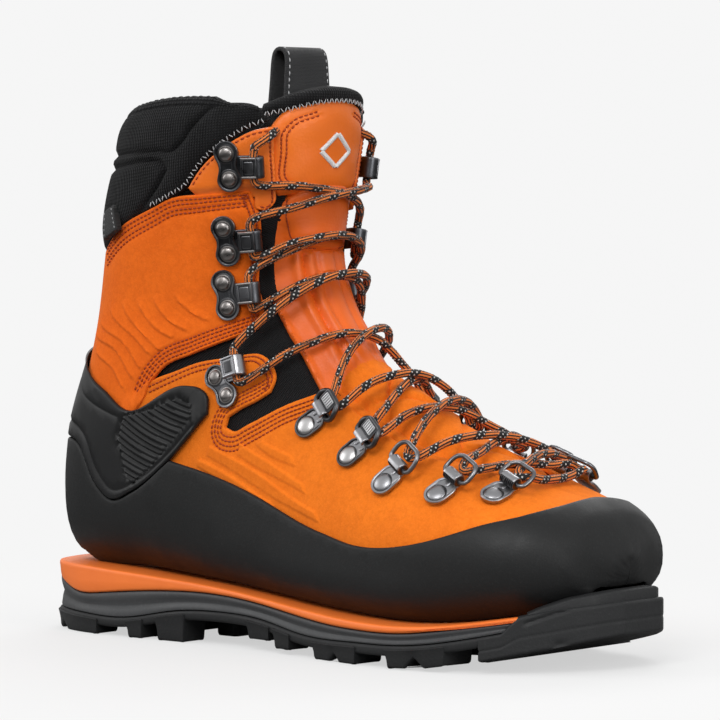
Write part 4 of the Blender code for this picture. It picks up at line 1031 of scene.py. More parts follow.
# ------------------------------------------------------------------ rand and wing
# outlines here and below are (u, v) on the lateral side
RAND_TOP = [(11.03, .290), (10.29, .274), (9.04, .269), (7.58, .271), (6.76, .266),
            (6.08, .252), (5.18, .228), (4.18, .195), (3.3, .158), (2.85, .100),
            (2.80, .040), (2.85, 0.0)]
WING = [(14.85, .5), (14.79, .46), (14.44, .404), (13.95, .360), (13.49, .323), (12.82, .284),
        (11.99, .193), (11.64, .183), (11.19, .187), (10.88, .205), (10.98, .275),
        (11.32, .330), (11.62, .349), (12.2, .352), (13.05, .372), (13.45, .42), (13.55, .5)]
WING_FIELD = [(12.70, .284), (12.28, .243), (11.80, .204), (11.55, .200), (11.24, .211),
              (11.14, .224), (11.20, .262), (11.27, .298), (11.38, .320), (11.60, .317),
              (12.0, .302), (12.4, .299)]
WING_GROOVE = [(10.98, .225), (11.08, .270), (11.42, .322), (11.72, .338), (12.3, .342),
               (13.1, .360), (13.6, .41), (13.72, .5)]
WING_EDGE = [(14.62, .5), (14.56, .46), (14.24, .413), (13.80, .374), (13.40, .340),
             (12.78, .294)]
SOLE_LINE = [(u, sole_v(u)) for u in (1.3, 2, 3, 4, 5, 6, 7, 8, 9, 10, 10.8, 11.3, 11.6)]


def rand_outline():
    low = [(11.95, .5), (11.85, .44)] + SOLE_LINE[::-1]
    low += [(u, .498) for u in (1.12, 1.0, .88, .76, .64, .52, .4, .3, .2, .1, 0.0)]
    # the top follows the lower edge of the heel wing, a hair below it
    wing_low = track([(10.99, .276)] + WING[-6:], 3.0)
    below = max((from_plane(shift(wing_low, off)) for off in (.5, -.5)),
                key=lambda uv: uv[1][len(wing_low) // 2])
    under_wing = [(float(u), float(v)) for u, v in zip(*below)][::-1]
    seam = [(float(u), .5) for u in np.linspace(11.95, 13.49, 34)]
    top = seam[1:] + [uv for uv in under_wing[1:] if uv[1] < .494] + RAND_TOP[1:]
    return low + mirror(low) + [(u, -v) for u, v in top[:-1]] + top[::-1]


def rand_form(u, v, plane, rim):
    """Thicker over the toe, and swelling slightly above the sole."""
    low = straight(SOLE_LINE, u)
    above_sole = np.clip((low - np.abs(v)) * girth(u), 0, None)
    foot = ramp(u, 1.6, 1.0) * ramp(u, 11.9, -.4)
    return .5 * ramp(u, 3.2, -3.0) + 2.0 * foot * ramp(above_sole, 9.0, -9.0) ** 2


def wing_form(u, v, plane, rim):
    """A ribbed field at the front, thinning up the back."""
    v = np.where(v > .5, 1 - v, v)
    points = to_plane(np.stack([u, v], -1))
    zone = ring_of(WING_FIELD, 1.0, 40)
    rib_run = unit(to_plane((10.92, .2511)) - to_plane((12.14, .26)))
    across = points @ np.array([-rib_run[1], rib_run[0]])
    rib = .5 + .5 * np.cos(2 * math.pi * across / 2.3)
    field = -.75 + .95 * rib ** .75 * ramp(dist(points, zone, True), 0, .7)
    return np.where(inside(points, zone), field, 0) - 1.5 * ramp(u, 13.7, .7)


def rand():
    obj = sheet("rand", rand_outline(), 2.9, 1.1, RAND_RUBBER, cell=3.4, edge=1.1,
                inner_edge=.3, bump=rand_form, corner=42, wraps=True)
    attach(obj, "lower", "rand_rubber", "toe_rand", "heel_rand")


def heel_wing():
    lines = [(track(run), depth, half)
             for uv, depth, half in ((WING_GROOVE, .55, .8), (WING_EDGE, .35, .6))
             for run in (uv, mirror_back(uv))]
    obj = sheet("heel_wing_shell", WING + mirror_back(WING[1:-1]), 3.15, 1.1, WING_POLYMER,
                cell=2.8, edge=1.0, inner_edge=.3, bump=wing_form, lines=lines,
                fine=[(WING_FIELD, .62), (mirror_back(WING_FIELD), .62)])
    attach(obj, "lower", "wing_tpu", "heel_wing")


# ------------------------------------------------------------------ vamp
MARGIN = [(2.42, 0.0), (2.42, .050), (2.50, .118), (2.95, .176), (3.9, .224), (4.9, .256),
          (5.9, .283), (6.7, .297), (7.58, .301), (9.04, .299), (10.29, .303), (10.85, .312),
          (11.12, .300), (11.20, .245), (11.38, .224), (11.65, .218), (11.95, .228),
          (12.66, .306), (12.76, .294)]
STRAP = [(12.93, .248), (12.62, .205), (12.32, .173), (11.74, .140), (10.99, .116),
         (10.45, .119), (10.08, .131), (9.98, .146), (10.11, .162), (10.36, .184),
         (10.49, .199), (10.40, .212)]
SLOT = [(10.16, .211), (9.97, .195), (9.74, .174), (9.45, .147), (9.00, .112)]
THROAT = [(8.86, .100), (7.71, .100), (6.63, .104), (5.86, .094), (4.86, .062), (4.35, .028),
          (4.22, 0.0)]
SLOT_END = [(9.98, .146), (10.11, .162), (10.36, .184), (10.50, .200), (10.40, .214),
            (10.16, .213), (9.97, .197), (9.74, .176), (9.45, .149), (8.98, .114)]
# embossed bars on the side, tapering forward: (points in the top edge, outline)
BARS = [
    (2, [(9.46, .202), (8.74, .198), (8.50, .208), (8.85, .213), (9.34, .214), (9.60, .211)]),
    (3, [(9.90, .219), (8.95, .221), (8.26, .223), (8.08, .235), (8.50, .235), (9.80, .235)]),
    (3, [(10.46, .240), (9.2, .241), (7.81, .249), (7.64, .262), (8.2, .262), (9.71, .257),
         (10.40, .255)]),
    (3, [(10.54, .261), (9.6, .263), (8.75, .268), (8.55, .276), (8.91, .278), (9.9, .276),
         (10.5, .272)]),
]
BAR_ZONE = [(10.65, .232), (9.6, .196), (8.6, .193), (7.9, .236), (7.45, .266), (8.4, .284),
            (9.0, .288), (10.4, .282)]
VAMP_CREASES = [(6.1, 1, .55), (6.9, -1, .45), (5.3, 1, .35)]  # u, slant, depth


def vamp_form(u, v, plane, rim):
    """The embossed bars, soft creases over the toe bend, and a faint unevenness."""
    folded = np.abs(v)
    out = np.zeros(len(u))
    points = plane * [1, 1]
    points[:, 1] = np.abs(points[:, 1])
    k = np.where((points[:, 1] > 60) & (u > 7.2) & (u < 10.9))[0]
    for count, outline in BARS:
        ring, top = ring_of(outline, .8, 28), track(outline[:count], .8)
        relief = ramp(dist(points[k], ring, True), 0, .55) * np.exp(-dist(points[k], top) / 6.0)
        out[k] += np.where(inside(points[k], ring), relief, 0)
    for middle, slant, depth in VAMP_CREASES:
        x = (u - middle) * 14 - (folded - .17) * 60 * slant
        out -= depth * bell(x, 3.2) * bell(folded - .185, .045)
    return out + .12 * np.sin(plane[:, 0] * .21 + 1.3) * np.sin(plane[:, 1] * .17)


def vamp():
    half = MARGIN + STRAP + SLOT + THROAT
    outline = half + mirror(half[1:-1])
    ring = ring_of(outline)
    # two rows beside the strap, four round the slot's end on the side where the leather is
    strap_edge = track(STRAP[:8])
    slot_end = track(SLOT_END, corner=120)
    left, right = (inside(shift(slot_end, off), ring).sum() for off in (3.0, -3.0))
    towards = 1.0 if left > right else -1.0
    rows = [shift(strap_edge, off) for off in (-1.7, -3.9)]
    rows += [shift(slot_end, off * towards) for off in (1.8, 3.7, 5.6, 7.5)]
    rows = with_mirror(trim(rows, ring))
    obj = sheet("vamp_suede", outline, 0.0, -2.2, VAMP_SUEDE, cell=2.7, edge=1.0,
                bump=vamp_form, lines=[(row, .32, .75) for row in rows],
                fine=[(BAR_ZONE, .62), (mirror(BAR_ZONE), .62)])
    attach(obj, "lower", "suede", "vamp")
    attach(stitches("vamp_stitching", rows, 0.0, RUST_THREAD), "lower", "suede")


# ------------------------------------------------------------------ quarters
QUARTER_TOP = [(16.20, .4999), (16.20, .384), (16.40, .335), (16.52, .271), (16.60, .236),
               (16.47, .188), (16.22, .118)]
QUARTER_FRONT = [(15.37, .101), (14.57, .094), (13.24, .090), (11.98, .093)]
QUARTER_LOW = [(11.86, .100), (12.17, .128), (12.66, .180), (12.96, .226), (12.90, .240),
               (12.66, .256), (12.62, .285), (13.20, .335), (13.80, .372), (14.10, .42),
               (14.15, .4999)]
QUARTER_RIDGES = [
    [(14.19, .207), (13.60, .178), (13.20, .158)], [(14.42, .246), (13.80, .214), (13.35, .189)],
    [(14.59, .278), (13.95, .242), (13.44, .211)], [(14.72, .309), (13.85, .254), (13.36, .228)],
    [(14.82, .339), (13.95, .272), (13.50, .248)], [(14.84, .371), (14.07, .297), (13.36, .262)],
    [(14.72, .384), (14.09, .315), (13.32, .276)], [(14.42, .372), (13.75, .314), (13.32, .294)]]
RIDGE_ZONE = [(13.05, .145), (14.25, .190), (14.95, .300), (15.05, .385), (14.50, .405),
              (13.70, .345), (13.15, .300), (13.10, .240)]
EYESTAY = [(16.36, .112), (16.60, .186), (16.72, .209), (17.20, .190), (17.65, .162),
           (18.0, .128), (18.1, .100), (17.3, .094), (16.2, .086), (15.62, .086),
           (15.50, .094), (15.66, .108)]
BACKSTAY = [(16.20, .512), (16.22, .5), (16.20, .488), (15.6, .487), (15.1, .486),
            (14.80, .485), (14.80, .515), (15.1, .514), (15.6, .513)]


def quarter(side, word):
    outline = on_side(QUARTER_TOP + QUARTER_FRONT + QUARTER_LOW, side)
    rows = either_side(track(QUARTER_TOP[1:]), 1.8, 3.7, 6.0, 7.9)
    rows += either_side(track(QUARTER_TOP[-1:] + QUARTER_FRONT), 1.8, 3.8)
    rows += either_side(track(QUARTER_LOW[:6]), 1.8, 3.7, 5.6, 7.5)
    rows = trim([path_on_side(row, side) for row in rows], ring_of(outline))
    ridges = [path_on_side(track(ridge, .8), side) for ridge in QUARTER_RIDGES]

    def form(u, v, plane, rim):
        folded = np.abs(v)
        out = np.zeros(len(u))
        for ridge in ridges:
            far = dist(plane, ridge)
            slope = np.where(side_of(plane, ridge) * side > 0, np.exp(-far / 2.2),
                             ramp(far, .55, -.55))
            out += np.where(far < 4.5, .85 * slope, 0)
        # raised where the leather bends over the strap
        out += ramp(u, 12.98, -.06) * ramp(folded, .228, .006) * ramp(folded, .33, -.02)
        return out + .22 * np.sin(plane[:, 0] * .13 + 2) * np.sin(plane[:, 1] * .11 + .4)

    obj = sheet("quarter_suede_" + word, outline, 0.0, -2.2, QUARTER_SUEDE, cell=2.8, edge=1.0,
                bump=form, lines=[(row, .5, .8) for row in rows],
                fine=[([(u, v * side) for u, v in RIDGE_ZONE], .7)])
    attach(obj, ANKLE_BEND, "suede", "quarter_" + word)
    attach(stitches("quarter_stitching_" + word, rows, 0.0, RUST_THREAD), ANKLE_BEND, "suede")


def eyestay_top(u, v):
    """Sinks under the quarter, whose top edge laps over the eyestay's foot."""
    quarter_edge = np.interp(np.abs(v), [.118, .150, .188, .236], [16.22, 16.36, 16.47, 16.60])
    return .9 - 1.75 * ramp(u, quarter_edge + .16, -.16) * ramp(np.abs(v), .114, .004)


def eyestay(side, word):
    rows = either_side(track(EYESTAY[2:7]), 1.6) + either_side(track(EYESTAY[6:]), 1.6)
    rows = trim([path_on_side(row, side) for row in rows], ring_of(on_side(EYESTAY, side)))
    outline = on_side([(u - .34, v) for u, v in EYESTAY[:2]] + EYESTAY[2:], side)
    obj = sheet("eyestay_leather_" + word, outline, eyestay_top, -1.6, COATED, cell=1.9,
                edge=.9, lines=[(row, .25, .7) for row in rows])
    attach(obj, "cuff", "smooth_leather", "eyestay_" + word)
    attach(stitches("eyestay_stitching_" + word, rows, .9, RUST_THREAD, pitch=2.4, length=1.9),
           "cuff", "smooth_leather")


def backstay():
    """A suede strip over the seam at the back of the heel."""
    obj = sheet("backstay", BACKSTAY, 1.2, -.2, QUARTER_SUEDE, cell=2.4, edge=.7)
    attach(obj, "cuff", "suede")
    rows = [track([(16.1, .491), (15.4, .490), (14.9, .4895)]),
            track([(16.1, .509), (15.4, .510), (14.9, .5105)])]
    attach(stitches("backstay_stitching", rows, 1.2, RUST_THREAD), "cuff", "suede")


# ------------------------------------------------------------------ gusset and linings
GUSSET = [(8.55, .088), (8.62, .125), (9.1, .178), (9.7, .217), (10.3, .226), (11.0, .205),
          (12.0, .215), (12.75, .250), (13.30, .266), (13.42, .240), (13.05, .185),
          (12.75, .135), (12.7, .064), (11.0, .066), (9.8, .078)]
LINING = [(16.6, .5), (16.6, .30), (16.5, .20), (15.4, .172), (13.4, .168), (12.2, .165),
          (11.5, .19), (11.2, .26), (11.15, .36), (11.2, .5)]
BOOTIE = [(0.0, .498), (1.2, .498), (11.6, .498), (11.6, .30), (11.5, .20), (11.0, .152),
          (9.9, .150), (8.9, .140), (7.7, .130), (6.6, .128), (5.8, .115), (4.9, .085),
          (4.5, .045), (4.45, 0.0)]


def gusset_form(u, v, plane, rim):
    """Fine ribs, sinking towards the edge beside the tongue."""
    ribs = .22 * np.sin(plane[:, 0] * 1.9 + np.abs(plane[:, 1]) * .9)
    edge_v = np.interp(u, [9.0, 9.6, 10.16, 10.8, 11.44, 12.2, 12.6],
                       [.110, .098, .089, .083, .077, .074, .072])
    return ribs - 1.5 * ramp(np.abs(v), edge_v + .004, -.012)


def gusset(side, word):
    obj = sheet("gusset_rib_" + word, on_side(GUSSET, side), -2.75, -4.0, STRETCH, cell=1.7,
                edge=.5, bump=gusset_form)
    attach(obj, ANKLE_BEND, "stretch_knit", "instep_stretch_" + word, "ankle_stretch_" + word)


def linings():
    obj = sheet("shaft_lining", LINING + mirror_back(LINING[1:-1]), -5.3, -6.9, LINING_KNIT,
                cell=4.0, edge=.6)
    attach(obj, ANKLE_BEND, "lining_textile", "cuff_lining")
    obj = sheet("bootie_textile_shell", BOOTIE + mirror(BOOTIE[1:-1]), -5.3, -6.9, BOOTIE_KNIT,
                cell=5.0, edge=.5)
    attach(obj, "lower", "membrane", "bootie_lower")


# ------------------------------------------------------------------ collar
# the top runs from the back round to the front, the low edge returns to the back
COLLAR_TOP = [(18.62, .5), (18.8, .42), (19.0, .32), (19.05, .24), (18.95, .18), (18.75, .125)]
COLLAR_LOW = [(18.28, .106), (18.12, .128), (17.75, .160), (17.25, .190), (16.75, .212),
              (16.60, .240), (16.50, .271), (16.38, .335), (16.18, .384), (16.16, .5)]
# sewn channels set off two padded panels each side, behind a flat front band
CHANNELS = [
    [(18.86, .188), (18.32, .212), (17.92, .226), (17.74, .238), (17.78, .266), (17.85, .323),
     (17.92, .42), (17.96, .5)],
    [(16.30, .330), (16.48, .300), (16.95, .259), (17.30, .246), (17.48, .256), (17.58, .282),
     (17.60, .319), (17.62, .42), (17.64, .5)]]
LABEL = [(16.75, .372), (16.80, .340), (16.3, .325), (16.22, .362)]


def collar_inner(u, v):
    """Thin at the front, thick behind."""
    return -2.6 - 4.2 * ramp(np.minimum(v, 1 - v), .165, .025)


def collar():
    outline = COLLAR_TOP + COLLAR_LOW
    outline = outline + mirror_back(outline)[1:-1]
    channels = [track(run) for uv in CHANNELS for run in (uv, mirror_back(uv))]

    def form(u, v, plane, rim):
        folded = np.minimum(v, 1 - v)
        puff = 2.4 * swell(np.clip(rim - .5, 0, None), 3.5) * np.clip((folded - .10) / .05, .25, 1)
        near = np.min([dist(plane, channel) for channel in channels], axis=0)
        puff += .7 * swell(near, 5.0) * ramp(rim, 0, 8)
        return puff + .22 * np.sin(plane[:, 0] * .21 + plane[:, 1] * .11) * ramp(rim, 0, 6)

    obj = sheet("collar_pad", outline, -.3, collar_inner, COLLAR_KNIT, cell=2.3, edge=2.2,
                inner_edge=1.6, bump=form, lines=[(channel, 1.35, 1.2) for channel in channels])
    attach(obj, "cuff", "collar_knit", "collar")
    collar_roll()
    rows = trim(either_side(track(COLLAR_LOW[:7]), -1.6), ring_of(outline), .8)
    rows += [np.stack([row[:, 0], girth(from_plane(row)[0]) - row[:, 1]], 1) for row in rows]
    attach(stitches("collar_overlock", rows, .95, GREY_THREAD, pitch=1.75, length=2.3,
                    radius=.23, zigzag=True), "cuff", "collar_knit")


def collar_roll():
    """A knitted roll along the collar's top edge."""
    top = track(COLLAR_TOP[::-1] + [(u, 1 - v) for u, v in COLLAR_TOP[1:]])
    u, v = from_plane(resample(top, 1.3))
    depth = collar_inner(u, v)
    verts, faces, uv = rope(
        at(u - .08, v, (depth - .3) / 2 + .2), np.clip(np.abs(depth) / 2 + .1, 1.6, 3.5),
        lambda run, angle: (.22 * np.cos(2 * math.pi * run / 3.4 + 2 * angle)
                            + .12 * np.cos(2 * math.pi * run / 3.4 - 3 * angle)),
        outs=normal(u, v))
    attach(make("collar_roll", verts, faces, EDGE_KNIT, uv=uv * [.01, .25]),
           "cuff", "collar_knit")


def side_label():
    top = 3.9
    obj = sheet("side_label", LABEL, top, 1.0, LABEL_CLOTH, cell=1.4, edge=.5)
    attach(obj, "cuff", "label_cloth", "label_tab")
    rows = [shift(track([(16.75, .368), (16.24, .359)]), .2),
            track([(16.78, .345), (16.32, .3295)])]
    attach(stitches("side_label_stitching", rows, top, GREY_THREAD, pitch=1.8, length=1.3,
                    radius=.2), "cuff", "label_cloth")


# ------------------------------------------------------------------ tongue
UPPER_PAD = [(18.95, 0.0), (18.90, .045), (18.55, .085), (18.0, .103), (17.2, .102),
             (16.3, .097), (15.82, .080), (15.72, .040), (15.72, 0.0)]
MIDDLE_PAD = [(15.92, .050), (15.6, .074), (14.8, .078), (13.7, .077), (12.75, .075),
              (12.35, .066)]
CUSHION = [(16.3, .062), (15.6, .071), (14.7, .064), (14.1, .054), (13.7, .041), (13.44, .022)]
FOLD = [(17.7, .094), (17.4, .125), (16.4, .140), (14.5, .142), (12.9, .136), (12.3, .120),
        (12.0, .095), (12.2, .062), (13.5, .064), (15.0, .066), (15.9, .070), (16.6, .088)]
BELLOWS = [(12.6, .070), (12.2, .074), (11.44, .076), (10.8, .081), (10.16, .086), (9.6, .093),
           (9.0, .104), (8.6, .116), (7.6, .116), (6.5, .118), (5.7, .106), (4.9, .076),
           (4.5, .045)]
KEEL_VALLEY = [(8.7, .080), (7.7, .077), (6.6, .077), (5.9, .067), (5.2, .045)]
INSTEP_CREASES = [(8.1, .9, 2.3), (7.2, -.8, 2.1), (6.3, .8, 1.9), (5.5, -.7, 1.6)]  # u, slant, mm
TONGUE_LINING = [(18.75, .02), (18.55, .067), (18.30, .106), (17.55, .131), (16.35, .144),
                 (14.45, .144), (13.45, .138), (13.0, .09)]
BINDING = [(19.35, .03), (19.12, .075), (18.80, .118), (18.46, .122), (18.60, .080),
           (18.80, .040)]
BINDING_ROW = [(18.50, -.116), (18.66, -.078), (18.87, -.038), (18.92, 0.0), (18.87, .038),
               (18.66, .078), (18.50, .116)]
LOZENGE_U, LOZENGE_HIGH, LOZENGE_WIDE = 17.2, 10.5, 9.0   # place, half sizes in mm


def upper_pad():
    rows = with_mirror(trim(either_side(track(UPPER_PAD[1:7]), -5.8, -8.0),
                            ring_of(both(UPPER_PAD)), .8))
    rim_ring = ring_of(both(UPPER_PAD[1:-1]), 1.0)

    def form(u, v, plane, rim):
        return (-.2 + 3.0 * swell(rim, 5.0)
                + .12 * np.sin(plane[:, 0] * .3) * np.cos(plane[:, 1] * .23))

    def thread_top(u, v):
        return -2.7 + 3.0 * swell(dist(to_plane(np.stack([u, v], -1)), rim_ring, True), 5.0)

    obj = sheet("tongue_pad_upper", both(UPPER_PAD[1:-1]), -2.4, -4.8, COATED, cell=2.0,
                edge=1.2, bump=form, lines=[(row, .4, .8) for row in rows])
    attach(obj, "tongue", "smooth_leather", "tongue_cover")
    attach(stitches("tongue_stitching_upper", rows, thread_top, RUST_THREAD, pitch=2.4,
                    length=1.9), "tongue", "smooth_leather")


def folds(u, v):
    """The leather hangs in long folds on both sides of a smooth middle."""
    sway = np.where(v < 0, 1.0, -1.0)
    x = np.abs(v) * girth(u) + sway * .7 * np.sin(length_at(u) * .055 + .8)
    lean = ramp(u, 12.9, -4.0)
    first, second = 10.6 - 1.6 * lean, 17.0 - .6 * lean
    out = .7 * bell(x, 6.4, 4)
    out += 1.9 * bell(np.abs(x - first), 2.0, 2.4) + 2.0 * bell(np.abs(x - second), 2.3, 2.4)
    return out - .9 * bell(x - (first + second) / 2, 1.2) - .8 * bell(x - first + 4.2, 1.3)


def middle_pad():
    """A rounded cushion ends above the ankle; below it the leather falls in folds."""
    cushion = ring_of(both(CUSHION), 1.5, 40)
    base_top, rise, puff = -3.2, 1.0, 2.0

    def form(u, v, plane, rim):
        edge = dist(plane, cushion, True)
        around = .5 + folds(u, v) * np.clip(edge / 3, 0, 1) - .3 * np.exp(-edge / 1.5)
        out = np.where(inside(plane, cushion), rise + puff * swell(edge, 3.0), around)
        return out * np.clip(rim / 1.5, .3, 1)

    rows = trim(either_side(track(CUSHION), 1.4), ring_of(both(MIDDLE_PAD)), .6)
    rows = [row for row in rows if inside(row[len(row) // 2:len(row) // 2 + 1], cushion)[0]]
    rows = with_mirror(rows)
    # the darker coated leather here is painted shade
    obj = sheet("tongue_pad_middle", both(MIDDLE_PAD), base_top, -5.2, SHADED_COATED_LEATHER, cell=1.7,
                edge=1.2, bump=form, lines=[(row, .35, .7) for row in rows])
    attach(obj, TONGUE_BEND, "smooth_leather")
    attach(stitches("tongue_stitching_middle", rows, base_top + rise + puff * .37, RUST_THREAD,
                    pitch=2.3, length=1.6, radius=.3), TONGUE_BEND, "smooth_leather")


def tongue_fold(side, word):
    """Black stretch fabric between the tongue and the quarter."""
    def form(u, v, plane, rim):
        return .35 * np.sin(np.abs(plane[:, 1]) * .9) - 1.1 * ramp(np.abs(v), .075, -.012)

    obj = sheet("tongue_fold_" + word, on_side(FOLD, side), -2.5, -4.0, STRETCH, cell=1.9,
                edge=.6, bump=form)
    attach(obj, TONGUE_BEND, "stretch_knit")


def bellows_form(u, v, plane, rim):
    across = v * girth(u)
    along = length_at(u)
    x = np.abs(v) * girth(u) + .8 * np.sin(along * .16)
    out = ramp(u, 8.2, 1.6) * folds(u, v)
    # a raised keel down the middle of the lower part
    low = ramp(u, 8.6, -1.0)
    out += low * 2.4 * bell(across, 15.0)
    out += low * .35 * np.cos(2 * math.pi * along / 15.0) * bell(across, 16.0)
    # creases run with the laces over the instep
    for middle, slant, depth in INSTEP_CREASES:
        off = (along - length_at(middle)) + slant * across
        out -= depth * bell(off, 1.35) * bell(x, 24.0, 4)
        out += .3 * depth * bell(off - 3.2, 2.2) * bell(x, 24.0, 4)
    # a rolled edge stands above the knit gusset beside it
    hem = 1.9 * bell(rim - 1.6, 1.3) * ramp(u, 8.7, .5) * ramp(u, 12.6, -.4)
    return out * ramp(rim, 1.0, 3.5) + .9 * swell(rim, 3.0) + hem


def bellows():
    """From the toe end of the throat up to the cuff, with a valley each side of the keel."""
    # the darker coated leather above the suede is painted shade
    obj = sheet("tongue_bellows", both(BELLOWS), -3.5, -5.2, SHADED_COATED_LEATHER, cell=1.6, edge=.9,
                bump=bellows_form,
                lines=[(path, 2.5, 2.3) for path in with_mirror([track(KEEL_VALLEY)])])
    # below this u the piece is suede
    suede_end = float(length_at(8.75))
    obj.data.materials.append(VAMP_SUEDE)
    layer = obj.data.uv_layers[0].data
    for face in obj.data.polygons:
        loops = face.loop_indices
        if sum(layer[i].uv[0] for i in loops) / len(loops) * 100 < suede_end:
            face.material_index = 1
    attach(obj, bend("lower", "cuff", (-10, 0, 126), (-14, 0, 146)), "smooth_leather",
           "tongue_lower")


def binding_top(u, v):
    return np.interp(np.abs(v), [.05, .10], [-.2, -2.4])


def tongue_back():
    """The lining and the padded binding over the tongue's top."""
    obj = sheet("tongue_lining_shell", both(TONGUE_LINING), -5.3, -8.2, LINING_KNIT, cell=3.6,
                edge=1.2, inner_edge=1.2)
    attach(obj, "tongue", "lining_textile", "tongue_lining")
    obj = sheet("tongue_top_binding", both(BINDING), binding_top, -8.2, COLLAR_KNIT, cell=2.0,
                edge=2.2, inner_edge=1.6, bump=lambda u, v, plane, rim: 1.1 * swell(rim, 3))
    attach(obj, "tongue", "collar_knit", "tongue_binding")
    obj = stitches("tongue_overlock", [track(BINDING_ROW)],
                   lambda u, v: binding_top(u, v) + .75, GREY_THREAD, pitch=1.45, length=2.3,
                   radius=.23, zigzag=True)
    attach(obj, "tongue", "collar_knit")


def lozenge():
    """A plain stitched lozenge on the upper pad, its stitches set across its sides."""
    corners = to_plane((LOZENGE_U, 0.0)) + np.array(
        [[LOZENGE_HIGH, 0], [0, LOZENGE_WIDE], [-LOZENGE_HIGH, 0], [0, -LOZENGE_WIDE]])
    places = []
    for start, end in zip(corners, np.roll(corners, -1, 0)):
        points = start + (end - start) * np.linspace(.04, .96, 26)[:, None]
        heading = unit(end - start)
        across = np.array([-heading[1], heading[0]]) * .5
        u, v = from_plane(points)
        out = normal(u, v)
        along = base(*from_plane(points + across)) - base(*from_plane(points - across))
        places += zip(at(u, v, .62), square_to(along, out), out)
    attach(make("tongue_lozenge", *capsules(places, 2.5, .34, arch=.5), WHITE_THREAD),
           "tongue", "smooth_leather")


# ------------------------------------------------------------------ general solids
def inward_of(ring):
    """The inward mitred normal of a closed counter-clockwise ring."""
    heading = unit(np.roll(ring, -1, 0) - ring, 1e-12)
    after = np.stack([-heading[:, 1], heading[:, 0]], 1)
    before = np.roll(after, 1, 0)
    return (before + after) / np.maximum(1 + (before * after).sum(1, keepdims=True), .35)


def ccw(ring):
    ring = np.asarray(ring, float)
    return ring if signed_area(ring) > 0 else ring[::-1]


def loft(ring, levels):
    """A capped solid on a closed outline; a level is (inset, z), numbers or one per point."""
    count = len(ring)
    inward = inward_of(ring)
    rows = []
    for inset, z in levels:
        inset, z = (np.broadcast_to(np.asarray(k, float), (count,)) for k in (inset, z))
        rows.append(np.concatenate([ring + inward * inset[:, None], z[:, None]], 1))
    faces = tube_faces(len(rows), count)[:-2]
    for k in (0, len(rows) - 1):
        result = delaunay_2d_cdt([Vector(q) for q in rows[k][:, :2].tolist()], [],
                                 [list(range(count))], 1, 1e-7)
        source = [ids[0] if ids else 0 for ids in result[3]]
        for face in result[2]:
            face = tuple(source[i] + k * count for i in face)
            if len(set(face)) == 3:
                faces.append(face)
    return np.concatenate(rows), faces


def merge(parts):
    """Joins (verts, faces, material index) parts."""
    verts, faces, mats = [], [], []
    first = 0
    for part_verts, part_faces, mat in parts:
        verts.append(np.asarray(part_verts, float))
        faces += [tuple(k + first for k in face) for face in part_faces]
        mats += [mat] * len(part_faces)
        first += len(part_verts)
    return np.concatenate(verts), faces, mats


def lathe(profile, centre, sides):
    """(radius, z) turned about an upright axis through centre."""
    verts = [(centre[0] + r * math.cos(2 * math.pi * s / sides),
              centre[1] + r * math.sin(2 * math.pi * s / sides), z)
             for r, z in profile for s in range(sides)]
    return verts, tube_faces(len(profile), sides)


def strip(path, half, thick, edge, columns, taper=None):
    """A flat strip swept along an (x, z) path, with rounded edges; y runs across it."""
    heading = unit(np.gradient(path, axis=0))
    out = np.stack([-heading[:, 1], heading[:, 0]], 1)
    top = thick / 2
    edge = min(edge, top)
    face = [(y, top) for y in np.linspace(-(half - edge), half - edge, columns)]
    corner = [(half - edge + edge * math.sin(a), top - edge + edge * math.cos(a))
              for a in np.linspace(0, math.pi / 2, 4)][1:]
    ring = (face + corner + [(y, -z) for y, z in reversed(corner)]
            + [(y, -z) for y, z in reversed(face)] + [(-y, -z) for y, z in corner]
            + [(-y, z) for y, z in reversed(corner)])
    verts = []
    for k in range(len(path)):
        width = 1.0 if taper is None else taper[k]
        for y, z in ring:
            x, high = path[k] + out[k] * z
            verts.append((x, y * width, high))
    return verts, tube_faces(len(path), len(ring))


# ------------------------------------------------------------------ pull loop
LOOP_HALF, LOOP_THICK = 15.2, 1.7
LOOP_STEP = .9
# (x, z), up the rear leaf, over the top and down the front leaf
LOOP_PATH = spline([(-33.9, 217.5), (-33.7, 226), (-33.3, 238), (-33.0, 245.5), (-31.8, 248.6),
                    (-29.4, 249.7), (-27.0, 248.6), (-25.7, 245.5), (-25.4, 238),
                    (-25.2, 226), (-25.2, 217.5)], LOOP_STEP, 16)
LOOP_MIDDLE = (-29.4, 235)


def pull_loop():
    low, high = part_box("pull_loop")
    mid_y = (low[1] + high[1]) / 2 / MM + ORIGIN[1]
    taper = 1.0 - .15 * ramp(LOOP_PATH[:, 1], 220, 26)
    verts, faces = strip(LOOP_PATH, LOOP_HALF, LOOP_THICK, .7, 22, taper)
    verts = np.array(verts)
    verts[:, 0] += .35 * np.sin(verts[:, 1] * .22) * ramp(verts[:, 2], 222, 20)
    run = np.repeat(np.arange(len(LOOP_PATH)) * LOOP_STEP, len(verts) // len(LOOP_PATH))
    uv = np.stack([run, verts[:, 1]], 1) / 100
    verts[:, 1] += mid_y
    attach(make("pull_loop_webbing", verts, faces, WEBBING, uv=uv, sharp=50, outward=True),
           "pull_loop", "pull_webbing", "pull_loop")
    heading = unit(np.gradient(LOOP_PATH, axis=0))
    places = []
    for y in (-13.4, 13.4):
        for k in range(3, len(LOOP_PATH) - 3, 3):
            out = np.array([-heading[k, 1], heading[k, 0]])
            if out @ (LOOP_PATH[k] - LOOP_MIDDLE) < 0:
                out = -out
            x, z = LOOP_PATH[k] + out * LOOP_THICK / 2
            places.append((np.array([x + .35 * math.sin(y * .22), y * taper[k] + mid_y, z]),
                           np.array([heading[k, 0], 0, heading[k, 1]]),
                           np.array([out[0], 0, out[1]])))
    attach(make("pull_loop_stitching", *capsules(places, 1.9, .27), GREY_THREAD),
           "pull_loop", "pull_webbing")


